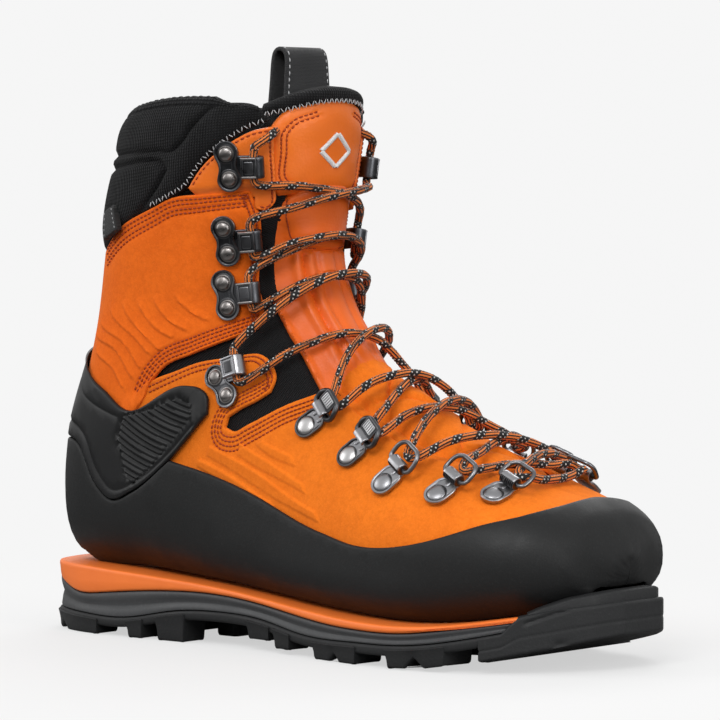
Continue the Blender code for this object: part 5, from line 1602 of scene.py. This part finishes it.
# ------------------------------------------------------------------ sole
SOLE_CORNER = 62        # degrees: sharper bends of the outline stay corners
CUT_X = 119.0           # the layered sole ends here, the toe block carries on
NOTCHES = [(32.5, 3.0, 3.4), (76.6, 4.6, 4.4), (-138.0, 4.4, 3.0)]  # x, half width, height
LUG_DRAFT = 1.3
# along each edge: x from, to, depth inward, lift off the ground face
SIDE_LUGS = [(-149.6, -110, 15, 0), (-93, -83, 13, 0), (-76, -59, 15, 0), (-23, -8, 12, 4.6),
             (-6, 5, 13, 2.0), (19, 46.5, 17, 0), (62.5, 90.5, 18, 0)]
# x from, to, y from, to, lift
MIDDLE_LUGS = [(-134, -112, -12, 12, 0), (-100, -84, -14, 14, 0), (-70, -56, -12, 12, 0),
               (-46, -30, -9, 9, 5.0), (0, 14, -14, 10, 1.2), (28, 42, -20, -4, 0),
               (28, 42, 2, 18, 0), (54, 68, -24, -7, 0), (54, 68, -1, 16, 0),
               (80, 94, -20, -3, 0), (80, 94, 3, 20, 0)]
LUG_CORNER = 2.4
TOE_BACK_X, TOE_FRONT_X = 103.6, 141.35


def layer_ring():
    """The sole's outline behind CUT_X, starting at the cut."""
    sole = ccw(smooth_path(LATERAL_EDGE + MEDIAL_EDGE[::-1], True, 1.6, SOLE_CORNER))
    behind = sole[:, 0] < CUT_X
    ring = np.roll(sole, -int(np.argmax(np.roll(behind, 1) != behind)), axis=0)
    return ring[ring[:, 0] < CUT_X]


LAYER_RING = layer_ring()
LAYER_X = LAYER_RING[:, 0]
FRAME_TOP = smooth(Z_FRAME, LAYER_X) + 4.4 * ramp(LAYER_X, -140.5, -8)
RUBBER_TOP = smooth(Z_RUBBER, LAYER_X)


def wedge():
    top, low = smooth(Z_WEDGE, LAYER_X), FRAME_TOP
    heel = ramp(LAYER_X, -118, -30)
    levels = [(4.0, low + .25), (1.3, low + .25), (.45 - .2 * heel, low + .55), (.0, low + 1.3),
              (-.15 * heel, (top + low) / 2), (-.35 * heel, top - 1.6), (-.2 * heel, top - .75),
              (.3, top - .2), (1.1, top), (4.0, top)]
    obj = make("wedge_midsole", *loft(LAYER_RING, levels), WEDGE_FOAM, sharp=50, outward=True)
    attach(obj, "lower", "wedge_foam", "midsole_wedge")


def sole_frame():
    """The frame under the wedge, waisted where it is tall."""
    low, top = RUBBER_TOP, FRAME_TOP
    tall = top - low
    slim = np.clip(tall / 8, 0, 1)
    levels = [(4.0, low + .2), (1.5, low + .2), (.7, low + .5), (.55, low + 1.0),
              (.6 + .5 * slim, low + tall * .30), (.95 + .7 * slim, low + tall * .42),
              (1.0 + .6 * slim, (top + low) / 2), (.6 + .3 * slim, low + tall * .66),
              (.45, low + tall * .78), (.5, top - .5), (.9, top - .1), (4.0, top - .1)]
    obj = make("frame_midsole", *loft(LAYER_RING, levels), FRAME_POLYMER, sharp=50,
               outward=True)
    attach(obj, "lower", "frame_tpu", "midsole_frame")


def side_curve(start_x, end_x, side, out):
    """The sole's edge between two X, moved outward; side is the sign of y."""
    path = smooth_path(LATERAL_EDGE if side < 0 else MEDIAL_EDGE, False, .9, SOLE_CORNER)
    heading = unit(np.gradient(path, axis=0), 0)
    path = path + np.stack([-heading[:, 1], heading[:, 0]], 1) * side * out
    return path[(path[:, 0] >= start_x) & (path[:, 0] <= end_x)]


def lug(ring, lift):
    ring = ccw(resample(np.concatenate([ring, ring[:1]]), .9)[:-1])
    x = ring[:, 0]
    notch = np.zeros(len(x))
    for middle, half, high in NOTCHES:
        notch = np.maximum(notch, high * np.clip(1 - np.abs(x - middle) / half, 0, 1) ** .8)
    ground = straight(Z_TREAD, x)
    low = ground + lift + notch
    top = np.maximum(smooth(Z_RUBBER, np.minimum(x, CUT_X)), ground + 4) - 1.2
    tall = top - low
    return loft(ring, [
        (LUG_DRAFT + 1.6, low), (LUG_DRAFT + .35, low), (LUG_DRAFT - .15, low + .35),
        (LUG_DRAFT - .45, low + 1.1), (LUG_DRAFT * .5, low + tall * .45),
        (.1, low + tall * .8), (-.25, top - .4), (.2, top), (3, top)])


def lugs():
    out = []
    for start_x, end_x, deep, lift in SIDE_LUGS:
        for side in (-1, 1):
            outer = side_curve(start_x, end_x, side, .7)
            inner = outer.copy()
            inner[:, 1] -= side * deep
            inner[:, 0] += 1.5 if start_x > -20 else 0
            out.append(lug(np.concatenate([outer, inner[::-1]]), lift))
    k = LUG_CORNER
    for x0, x1, y0, y1, lift in MIDDLE_LUGS:
        ring = [(x0 + k, y0), (x1 - k, y0), (x1, y0 + k), (x1, y1 - k), (x1 - k, y1),
                (x0 + k, y1), (x0, y1 - k), (x0, y0 + k)]
        out.append(lug(np.array(ring, float), lift))
    return out


def toe_block():
    """A block with a rising groove, a low rib and a round dimple each side."""
    lateral = side_curve(TOE_BACK_X, 142, -1, .35)
    medial = side_curve(TOE_BACK_X, 142, 1, .35)
    front = [(TOE_FRONT_X, y) for y in np.linspace(-4, 20, 16)[1:-1]]
    back = [(TOE_BACK_X, y) for y in np.linspace(medial[0, 1], lateral[0, 1], 40)[1:-1]]
    ring = ccw(np.concatenate([lateral, front, medial[::-1], back]))
    x = ring[:, 0]
    low = straight(Z_TREAD, x)
    climb = np.interp(x, [111.6, 117.2], [0.0, 1.0])
    top = np.where(x < 117.2,
                   smooth(Z_RUBBER, np.minimum(x, CUT_X)) * (1 - climb) + 25.0 * climb,
                   np.interp(x, [117.2, 128, 141.4], [25.0, 27.6, 29.6]))
    groove_z = np.interp(x, [118, 120, 136, 142], [21.9, 22.8, 30.2, 31.5])
    levels = [(3.0, low), (.9, low), (.3, low + .3)]
    for t in np.linspace(0, 1, 26)[1:-1]:
        z = low + .5 + (top - 1.0 - low) * t
        groove = np.where(x > 118.5, .75 * bell(z - groove_z, .75), 0)
        dimple = .8 * np.exp(-(((x - 128.5) / 1.7) ** 2 + ((z - (low + 1.2)) / 1.6) ** 2))
        levels.append((groove + dimple + .22 * bell(z - (low + (top - low) * .45), .5), z))
    return loft(ring, levels + [(.25, top - .25), (.8, top), (5.0, top)])


def welt_ledge():
    """The ledge above the toe block."""
    front = [(139.3, y) for y in np.linspace(-2.5, 18.5, 14)]
    ring = ccw(np.concatenate([side_curve(117.5, 142, -1, -1.7), front,
                               side_curve(117.5, 142, 1, -1.7)[::-1]]))
    low = np.interp(ring[:, 0], [117, 128, 141.4], [24.2, 26.9, 28.9])
    top = np.interp(ring[:, 0], [117, 122, 130, 141.4], [25.3, 28.0, 31.6, 34.6])
    return loft(ring, [(4, low), (0, low), (0, top - .7), (.3, top - .2), (1.0, top), (6, top)])


def outsole():
    z = RUBBER_TOP
    plate = loft(LAYER_RING, [(6, z - 4.0), (1.0, z - 4.0), (.35, z - 3.5), (0.05, z - 2.8),
                              (-.1, z - 1.2), (.05, z - .4), (.6, z), (5, z)])
    solids = [plate] + lugs() + [toe_block(), welt_ledge()]
    verts, faces, _ = merge([(*solid, 0) for solid in solids])
    obj = make("outsole_tread", verts, faces, SOLE_RUBBER, sharp=48, outward=True)
    attach(obj, "lower", "outsole_rubber", "outsole")


# ------------------------------------------------------------------ lacing hardware
# (u, v, turn in radians) from the cuff down
PLACES = {
    "hook": [(17.06, .152, -0.16), (15.02, .143, -0.33), (13.45, .130, -0.46)],
    "ankle": [(11.46, .163, -0.44)],
    "link": [(8.66, .152, -0.50), (7.46, .158, -0.55)],
    "ring": [(6.51, .170, -0.50), (5.41, .156, -0.38), (4.38, .126, -0.20)],
}
# heights above the last: the underside, thickness, middle and face of a base plate
PLATE_LOW, PLATE_THICK = 0.95, 1.1
PLATE_MID, PLATE_TOP = PLATE_LOW + PLATE_THICK / 2, PLATE_LOW + PLATE_THICK
BAR_X, BAR_Z = 8.6, PLATE_MID + 2.4     # the bar that a link or ring turns about
CLIP_RIVET = (-0.6, 0)
# turned heads: (share of the radius, rise), and the rise of the tip
RIVET_HEAD = [(1.0, -.5), (1, .10), (.97, .28), (.86, .36), (.83, .52), (.78, .95),
              (.62, 1.32), (.40, 1.58), (.18, 1.70)], 1.72
DOME_HEAD = [(1, -.3), (1, .12), (.985, .30), (.93, .52), (.82, .76), (.66, .98), (.46, 1.14),
             (.24, 1.23)], 1.26


def frame_at(u, v, turn):
    """Origin and axes on the last: x to the throat, y along the row, z out."""
    side = 1 if v > 0 else -1
    out = normal(u, v)
    first = square_to(base(u, v - side * .004) - base(u, v + side * .004), out)
    second = np.cross(out, first)
    cosine, sine = math.cos(turn * side), math.sin(turn * side)
    return base(u, v), first * cosine + second * sine, second * cosine - first * sine, out


FRAMES = {(kind, k, side): frame_at(u, side * v, turn)
          for side, _ in SIDES for kind, rows in PLACES.items()
          for k, (u, v, turn) in enumerate(rows)}


def stadium(first, second, radius, waist):
    """Two half circles joined by sides that draw in by waist."""
    first, second = np.array(first, float), np.array(second, float)
    heading = second - first
    length = np.linalg.norm(heading)
    heading /= length
    across = np.array([-heading[1], heading[0]])
    points = []
    for centre, way in ((second, 1), (first, -1)):
        middle = 0 if way > 0 else math.pi
        for a in np.linspace(middle - math.pi / 2, middle + math.pi / 2, 15):
            points.append(centre + radius * (heading * math.cos(a) + across * math.sin(a)))
        for t in np.linspace(0, 1, 9)[1:-1]:
            inset = radius - waist * math.sin(math.pi * t) ** 1.5
            points.append(centre - way * heading * length * t + way * across * inset)
    return ccw(points)


def rect_ring(x0, x1, y0, y1, corner, count=4):
    points = []
    for x, y, start in ((x1 - corner, y1 - corner, 0), (x0 + corner, y1 - corner, 90),
                        (x0 + corner, y0 + corner, 180), (x1 - corner, y0 + corner, 270)):
        points += arc(x, y, corner, start, start + 90, count)
    return ccw(points)


def arc(x, y, radius, start, end, count):
    return [(x + radius * math.cos(math.radians(a)), y + radius * math.sin(math.radians(a)))
            for a in np.linspace(start, end, count)]


def rimmed(ring, rim):
    """A base plate with a raised rim 1 mm wide."""
    low, top = PLATE_LOW, PLATE_TOP
    return loft(ring, [(.6, low), (.12, low), (0, low + .2), (0, top + rim - .2),
                       (.18, top + rim), (.8, top + rim), (1.0, top + rim - .12),
                       (1.15, top + .02), (2.2, top)])


def head(shape, centre, radius, sides):
    rows, tip = shape
    profile = [(radius * share, PLATE_TOP + rise) for share, rise in rows]
    return lathe(profile + [(.05, PLATE_TOP + tip)], centre, sides)


def washer(centre, radius, rise, sides):
    """A flat disc on the plate, with a slightly smaller top."""
    return lathe([(radius, PLATE_TOP - .3), (radius, PLATE_TOP + rise),
                  (radius - .15, PLATE_TOP + rise + .05 + .01 * (rise > .055)),
                  (.1, PLATE_TOP + rise + .06 + .01 * (rise > .055))], centre, sides)


def raised(ring, levels):
    """A solid whose (inset, z) levels stand over the middle of the plate."""
    return loft(ring, [(inset, PLATE_MID + z) for inset, z in levels])


def barrel():
    """A ribbed tube along y, round the bar."""
    radius, half, sides, pitch = 2.5, 3.95, 20, .95
    verts = []
    rows = np.linspace(-half, half, 57)
    for y in rows:
        r = radius * (1 + .045 * math.cos(2 * math.pi * y / pitch))
        r -= .35 * max(0.0, (abs(y) - half + .35) / .35)
        verts += [(BAR_X + r * math.cos(2 * math.pi * s / sides), y,
                   BAR_Z + r * math.sin(2 * math.pi * s / sides)) for s in range(sides)]
    return verts, tube_faces(len(rows), sides)


def link_cap():
    """The square cap over a link's wire: a dark frame with a pale crossed face, tilted."""
    pieces = [(rect_ring(2.0, 8.0, -4.3, 4.3, .8),
               [(.3, .8), (0, 1.0), (0, 1.5), (.2, 1.75), (.5, 1.8)], 0),
              (rect_ring(3.0, 7.0, -3.1, 3.1, .5), [(0, 1.7), (0, 1.95), (.2, 2.05)], 1)]
    pieces += [(rect_ring(3.3, 6.7, k * 1.15 - .16, k * 1.15 + .16, .12, 3),
                [(0, 1.95), (0, 2.2), (.05, 2.24)], 0) for k in range(-2, 3)]
    out = []
    for ring, levels, mat in pieces:
        verts, faces = loft(ring, levels)
        verts[:, 2] += BAR_Z + .3 + .26 * (verts[:, 0] - 2.0)
        verts[:, 0] += BAR_X
        out.append((verts, faces, mat))
    return out


def hook_parts(first, second, tip, half, bright=False):
    """A base plate with two rivets and a strip folded back over itself at x = tip.

    Material indices: 0 plate, 1 rivet, 2 bright fold, 3 dark."""
    fold = 2 if bright else 0
    path = [(1.6, .1), (4.0, .1), (7.0, .1), (10.0, .1), (12.2, .05)]
    path += arc(tip, 3.1, 3.1, -68, 78, 8) + [(tip - .9, 6.2), (tip - 3.2, 6.2), (tip - 5.4, 6.2)]
    path = spline(np.array(path) + [0, PLATE_MID], .45, 16)
    out = [(*rimmed(stadium(first, second, 5.3, 1.5), .6), 0),
           (*strip(path, half, PLATE_THICK, .45, 10), fold)]
    # raised edges on the folded plate, with a sunk middle
    for x0, x1 in ((tip - 5.4, tip - 4.3), (tip + .3, tip + 1.4)):
        ring = rect_ring(x0, x1, -half + .1, half - .1, .4, 3)
        out.append((*raised(ring, [(.1, 6.2), (0, 6.6), (.15, 7.0), (.45, 7.1)]), fold))
    for y0, y1 in ((-half + .1, -half + 1.2), (half - 1.2, half - .1)):
        ring = rect_ring(tip - 5.3, tip + 1.3, y0, y1, .4, 3)
        out.append((*raised(ring, [(.1, 6.2), (0, 6.7), (.15, 7.15), (.45, 7.25)]),
                    2 if bright else 1))
    ring = rect_ring(tip - 3.9, tip - .1, -half + 1.9, half - 1.9, .5)
    out.append((*raised(ring, [(0, 6.5), (0, 6.82), (.2, 6.9)]), 3 if bright else 0))
    # ridges on the bridge between the rivets and the fold
    for y in (-2.6, 0.0, 2.6):
        ring = rect_ring(5.6, 10.2, y - .7, y + .7, .5)
        out.append((*raised(ring, [(0, .5), (0, .9), (.3, 1.1)]), fold))
    for centre in (first, second):
        out.append((*washer(centre, 4.25, .06, 30), 3))
        out.append((*head(RIVET_HEAD, centre, 3.45, 28), 1))
    return out


def clip_parts(is_link):
    """A riveted base whose narrow strip curls round the bar; a ring's has a ribbed barrel."""
    path = [(1.0, PLATE_MID + .1), (4.0, PLATE_MID + .1), (6.6, PLATE_MID + .05),
            (8.0, PLATE_MID + .1)] + arc(BAR_X, BAR_Z, 2.4, -58, 128, 9)
    out = [(*rimmed(stadium(CLIP_RIVET, (3.2, 0), 5.2, 0), .4), 1 if is_link else 0),
           (*strip(spline(path, .4, 16), 3.9, 1.0, .4, 9), 0)]
    for y in ((-2.0, 2.0) if is_link else (0.0,)):
        ring = rect_ring(4.2, 8.0, y - .75, y + .75, .5)
        out.append((*raised(ring, [(0, .45), (0, .85), (.25, 1.02)]), 0))
    out.append((*washer(CLIP_RIVET, 4.35, .05, 32), 1))
    out.append((*head(DOME_HEAD, CLIP_RIVET, 3.85, 32), 2))
    if not is_link:
        out.append((*barrel(), 1))
    return out


def wire_loop(reach, half, radius):
    """The D-shaped wire about the bar, closed; it climbs 2 mm to its far side."""
    rise, count, sides = 2.0, 64, 12
    path = np.array([
        (0, -half + 1.6, 0), (0, 0, 0), (0, half - 1.6, 0), (0.9, half - 0.3, 0.1 * rise),
        (2.4, half, 0.25 * rise), (reach - 3, half - 0.3, 0.8 * rise),
        (reach - 0.8, half - 1.8, rise), (reach, half - 3.6, rise), (reach, 0, rise),
        (reach, -half + 3.6, rise), (reach - 0.8, -half + 1.8, rise),
        (reach - 3, -half + 0.3, 0.8 * rise), (2.4, -half, 0.25 * rise),
        (0.9, -half + 0.3, 0.1 * rise)], float)
    lap = np.concatenate([path[-3:], path, path[:3]])
    chords = run_along(lap, .5)
    where = np.linspace(chords[3], chords[3 + len(path)], count, endpoint=False)
    points = natural_spline(chords, lap, where)
    heading = unit(np.roll(points, -1, 0) - np.roll(points, 1, 0))
    verts = []
    for point, along in zip(points, heading):
        across = unit(np.cross(along, [0, 0, 1.0]))
        up = np.cross(across, along)
        verts += [point + [BAR_X, 0, BAR_Z] + radius * (across * math.cos(a) + up * math.sin(a))
                  for a in (2 * math.pi * s / sides for s in range(sides))]
    return np.array(verts), tube_faces(count, sides, closed=True)


def set_on(name, parts, key, mats, body, node, slot):
    """Local parts set on the frame of a (kind, index, side) place."""
    origin, first, second, out = FRAMES[key]
    verts, faces, indices = merge(parts)
    world = (origin + verts[:, :1] * first + verts[:, 1:2] * second * key[2]
             + verts[:, 2:3] * out)
    obj = make(name, world, faces, mats, face_mat=indices, uv=verts[:, :2] / 10, sharp=38,
               outward=True)
    attach(obj, body, slot, node)


def hardware(side, word):
    for k in range(len(PLACES["hook"])):
        tag = "hook_%s_%d" % (word, k + 1)
        set_on(tag, hook_parts((.5, -5.3), (-.5, 5.3), tip=12.6, half=4.5), ("hook", k, side),
               [GUNMETAL, RIVET_METAL, GUNMETAL, DARK_METAL], "cuff", "lace_" + tag,
               "hook_gunmetal")
    set_on("hook_ankle_" + word,
           hook_parts((0, 0), (3.9, -9.2), tip=13.0, half=4.4, bright=True),
           ("ankle", 0, side), [GUNMETAL, RIVET_METAL, CHROME, DARK_METAL], "lower",
           "ankle_hook_" + word, "hook_gunmetal")
    for k in range(len(PLACES["link"])):
        key, tag = ("link", k, side), "%s_%d" % (word, k + 1)
        set_on("link_base_" + tag, clip_parts(True), key, [CHROME, DARK_METAL, STEEL], "lower",
               "link_clip_" + tag, "clip_steel")
        loop = wire_loop(reach=7.6, half=6.4, radius=1.15)
        set_on("link_loop_" + tag, [(*loop, 0)] + link_cap(), key, [DARK_METAL, CAP_FACE],
               "lace_link_" + tag, "lace_link_" + tag, "link_dark")
    for k in range(len(PLACES["ring"])):
        key, tag = ("ring", k, side), "%s_%d" % (word, k + 1)
        set_on("ring_base_" + tag, clip_parts(False), key, [CLIP_METAL, DARK_METAL, CLIP_METAL],
               "lower", "ring_clip_" + tag, "clip_steel")
        loop = wire_loop(reach=9.0, half=6.6, radius=.95)
        set_on("ring_wire_" + tag, [(*loop, 0)], key, [RING_STEEL], "d_ring_" + tag,
               "d_ring_" + tag, "ring_steel")


# ------------------------------------------------------------------ laces
LACE_RADIUS = 1.72
# where the lace passes a piece, in the piece's own x and z
PASS = {"hook": (12.2, PLATE_MID + 3.0), "ankle": (12.6, PLATE_MID + 3.0),
        "link": (13.2, PLATE_MID + 1.6), "ring": (14.2, PLATE_MID + 1.6)}
# offsets (x, y, z) from it: through a hook, and through a link or ring
HOOK_PASS = [(.3, 8.2, -.1), (-.5, 3.4, 0), (-.5, -3.0, 0), (.1, -6.8, -.1)]
LOOP_PASS = [(2.5, 3.2, 0), (-.2, 1.0, 0), (-.2, -1.0, 0), (2.5, -3.2, 0)]
LOWER_STOPS = [("ankle", 0, 1), ("link", 0, -1), ("link", 1, 1), ("ring", 0, -1),
               ("ring", 1, 1), ("ring", 2, -1), ("ring", 2, 1), ("ring", 1, -1),
               ("ring", 0, 1), ("link", 1, -1), ("link", 0, 1), ("ankle", 0, -1)]
UNDER, OVER = 2.6, 6.1      # height over the last of the lower and upper lace at a crossing

SEARCH_U, SEARCH_V = np.meshgrid(np.linspace(3.6, 18.6, 241), np.linspace(-.2, .2, 121),
                                 indexing="ij")
SEARCH = base(SEARCH_U, SEARCH_V)


def pass_points(key):
    """Four points of the lace through a piece."""
    origin, first, second, out = FRAMES[key]
    x, z = PASS[key[0]]
    offsets = HOOK_PASS if key[0] in ("hook", "ankle") else LOOP_PASS
    return [origin + first * (x + dx) + second * y * key[2] + out * (z + dz)
            for dx, y, dz in offsets]


def foot_of(point):
    """The nearest searched (u, v) on the last, and the height over it."""
    k = np.unravel_index(np.linalg.norm(SEARCH - point, axis=2).argmin(), SEARCH_U.shape)
    u, v = SEARCH_U[k], SEARCH_V[k]
    return u, v, float((point - SEARCH[k]) @ normal(u, v))


def free_run(start, end, high, sag=0.0):
    """Points between two places, rising to high and bowing along u by sag."""
    (u0, v0, h0), (u1, v1, h1) = foot_of(start), foot_of(end)
    out = []
    for k in range(1, 6):
        t = k / 6
        line = h0 + (h1 - h0) * t
        arch = math.sin(math.pi * t)
        out.append(at(u0 + (u1 - u0) * t + sag * arch, v0 + (v1 - v0) * t,
                      line + (high - line) * arch ** .6))
    return out


def gap(a, b):
    return np.linalg.norm(a - b)


def lace_path(stops, highs, sags):
    points = []
    for k, key in enumerate(stops):
        here = pass_points(key)
        if points:
            if gap(here[0], points[-1]) > gap(here[-1], points[-1]):
                here = here[::-1]
            points += free_run(points[-1], here[0], highs[k - 1], sags[k - 1])
        else:
            following = pass_points(stops[1])[1]
            if gap(here[0], following) < gap(here[-1], following):
                here = here[::-1]
        points += here
    return points


def braid(run, angle):
    turn = 2 * math.pi * (run * .72)
    return .10 * np.cos(turn + 4 * angle) + .10 * np.cos(turn - 4 * angle)


def lace(name, points, body, start, *nodes):
    """start: where the cord's pattern begins, in mm."""
    verts, faces, uv = rope(spline(points, .75, 24), LACE_RADIUS, braid)
    attach(make(name, verts, faces, LACE_CORD, uv=uv + [start, 0]), body, "lace_cord", *nodes)


def ankle_lace(name, upper, lower, high, start):
    """A run over the ankle; upper and lower are (end, point before it)."""
    (top, before), (low, after) = upper, lower
    points = [top + (before - top) * .25, top] + free_run(top, low, high)
    points += [low, low + (after - low) * .25]
    low_z, high_z = sorted((top[2], low[2]))
    body = bend("lower", "cuff", (top[0], 0, low_z + 3), (top[0], 0, high_z - 3))
    lace(name, points, body, start)


def lace_end(side, word, path):
    """The tied-off end, tucked behind the top hook's lace and down beside the tongue."""
    points = [path[1] * .3 + path[0] * .7, path[0]]
    u, v, high = foot_of(path[0])
    for du, dv, off in ((.16, .007, high - .2), (.30, .016, high - 1.9), (.40, .025, -1.2)):
        points.append(at(u + du, side * (abs(v) - dv), off))
    lace("lace_end_" + word, points, "cuff", 14)


def laces():
    lower = lace_path(LOWER_STOPS, [UNDER] * 6 + [OVER] * 5,
                      [.08, -.05, .08, -.05, .06, -.1, .08, -.06, .08, -.06, .06])
    upper_a = lace_path([("hook", 0, 1), ("hook", 1, -1), ("hook", 2, 1)], [UNDER] * 2,
                        [-.12, .05])
    upper_b = lace_path([("hook", 0, -1), ("hook", 1, 1), ("hook", 2, -1)], [OVER] * 2,
                        [-.15, .02])
    lace("lace_run_lower", lower, "lower", 0, "lace_lower")
    lace("lace_run_upper_a", upper_a, "cuff", 9, "lace_upper_a")
    lace("lace_run_upper_b", upper_b, "cuff", 3, "lace_upper_b")
    ankle_lace("lace_run_ankle_a", (upper_a[-1], upper_a[-2]), (lower[-1], lower[-2]), 3.1, 20)
    ankle_lace("lace_run_ankle_b", (upper_b[-1], upper_b[-2]), (lower[0], lower[1]), 6.8, 5)
    for (side, word), path in zip(SIDES, (upper_a, upper_b)):
        lace_end(side, word, path)


# ------------------------------------------------------------------ floor, light, camera
def camera_only(tree, glow):
    """An emission seen by the camera alone, so a pale floor stays pale under soft light."""
    emission = tree.nodes.new("ShaderNodeEmission")
    emission.inputs["Color"].default_value = (1, 1, 1, 1)
    ray = tree.nodes.new("ShaderNodeLightPath")
    product = tree.nodes.new("ShaderNodeMath")
    product.operation = "MULTIPLY"
    product.inputs[1].default_value = glow
    tree.links.new(ray.outputs["Is Camera Ray"], product.inputs[0])
    tree.links.new(product.outputs[0], emission.inputs["Strength"])
    return emission.outputs[0]


def floor_paper():
    """Pale paper that fades into the backdrop away from the boot."""
    m = Material("floor_paper", (.29, .29, .29), rough=.9)
    m.set(Specular_IOR_Level=0.0)
    mat = m.done()
    near = m.add("ShaderNodeAddShader")
    m.link(m.shader.outputs[0], near.inputs[0])
    m.link(camera_only(m.tree, glow=.58), near.inputs[1])
    distance = m.add("ShaderNodeVectorMath")
    distance.operation = "LENGTH"
    m.link(m.obj, distance.inputs[0])
    fade = m.add("ShaderNodeMapRange", From_Min=.16, From_Max=.42)
    fade.interpolation_type = "SMOOTHSTEP"
    m.link(distance.outputs["Value"], fade.inputs["Value"])
    both_shaders = m.add("ShaderNodeMixShader")
    m.link(fade.outputs[0], both_shaders.inputs[0])
    m.link(near.outputs[0], both_shaders.inputs[1])
    m.link(camera_only(m.tree, glow=.92), both_shaders.inputs[2])
    m.link(both_shaders.outputs[0], m.tree.nodes["Material Output"].inputs["Surface"])
    return mat


def floor():
    half = 6.0
    mesh = bpy.data.meshes.new("floor")
    mesh.from_pydata([(-half, -half, 0), (half, -half, 0), (half, half, 0), (-half, half, 0)],
                     [], [(0, 1, 2, 3)])
    mesh.materials.append(floor_paper())
    obj = link(bpy.data.objects.new("floor", mesh))
    obj.location = (0, 0, -.0002)


def studio_world(light=.70, backdrop=.92):
    """White light all round; the camera sees a pale grey backdrop."""
    world = bpy.data.worlds.new("studio")
    SCENE.world = world
    world.use_nodes = True
    tree = world.node_tree
    lit = tree.nodes["Background"]
    lit.inputs[0].default_value = (1, 1, 1, 1)
    lit.inputs[1].default_value = light
    seen = tree.nodes.new("ShaderNodeBackground")
    seen.inputs[0].default_value = (backdrop, backdrop, backdrop, 1)
    seen.inputs[1].default_value = 1.0
    ray = tree.nodes.new("ShaderNodeLightPath")
    mix = tree.nodes.new("ShaderNodeMixShader")
    tree.links.new(ray.outputs["Is Camera Ray"], mix.inputs[0])
    tree.links.new(lit.outputs[0], mix.inputs[1])
    tree.links.new(seen.outputs[0], mix.inputs[2])
    tree.links.new(mix.outputs[0], tree.nodes["World Output"].inputs["Surface"])


def area_light(name, place, size, power):
    """An area light aimed at the middle of the boot; metres and watts."""
    light = bpy.data.lights.new(name, "AREA")
    light.shape = "RECTANGLE"
    light.size, light.size_y = size
    light.energy = power
    obj = link(bpy.data.objects.new(name, light))
    obj.location = place
    obj.rotation_mode = "QUATERNION"
    aim = Vector((0, 0, .11)) - Vector(place)
    obj.rotation_quaternion = aim.to_track_quat("-Z", "Y")


def camera():
    azimuth, elevation, distance = math.radians(40), math.radians(6.5), 1.7
    slope_right, slope_up = .00083333333, .071078431   # aim off the part's origin
    away = np.array([math.sin(azimuth) * math.cos(elevation),
                     -math.cos(azimuth) * math.cos(elevation), math.sin(elevation)])
    right = np.array([math.cos(azimuth), math.sin(azimuth), 0])
    aim = -away + right * slope_right + np.cross(away, right) * slope_up
    data = bpy.data.cameras.new("camera")
    data.sensor_width, data.lens = 36, 204
    data.clip_start, data.clip_end = .05, 50
    obj = link(bpy.data.objects.new("camera", data))
    obj.location = Vector(to_world((0, 0, 0)) + away * distance)
    obj.rotation_mode = "QUATERNION"
    obj.rotation_quaternion = Vector(aim).to_track_quat("-Z", "Y")
    SCENE.camera = obj


# ------------------------------------------------------------------ build
rand()
heel_wing()
vamp()
for side, word in SIDES:
    quarter(side, word)
    eyestay(side, word)
backstay()
for side, word in SIDES:
    gusset(side, word)
linings()
collar()
side_label()
upper_pad()
middle_pad()
for side, word in SIDES:
    tongue_fold(side, word)
bellows()
tongue_back()
lozenge()
pull_loop()
wedge()
sole_frame()
outsole()
for side, word in SIDES:
    hardware(side, word)
laces()

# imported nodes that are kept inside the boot
for node, mat in (("shank", SHANK_METAL), ("lasting_board", BOARD), ("toe_puff", BOARD),
                  ("heel_counter", BOARD), ("footbed", FOOTBED_FELT)):
    slots = frame["nodes"][node].data.materials
    slots.clear()
    slots.append(mat)

floor()
studio_world()
area_light("key", (.55, -1.25, 1.15), size=(.9, .7), power=13)
area_light("side", (-1.3, -.9, .75), size=(.7, .9), power=6)
area_light("rim", (-.6, 1.1, 1.1), size=(1.0, .5), power=8)
area_light("front", (1.4, -.2, .45), size=(.6, .8), power=5.4)
camera()
SCENE.view_settings.view_transform = "Standard"
SCENE.view_settings.look = "None"
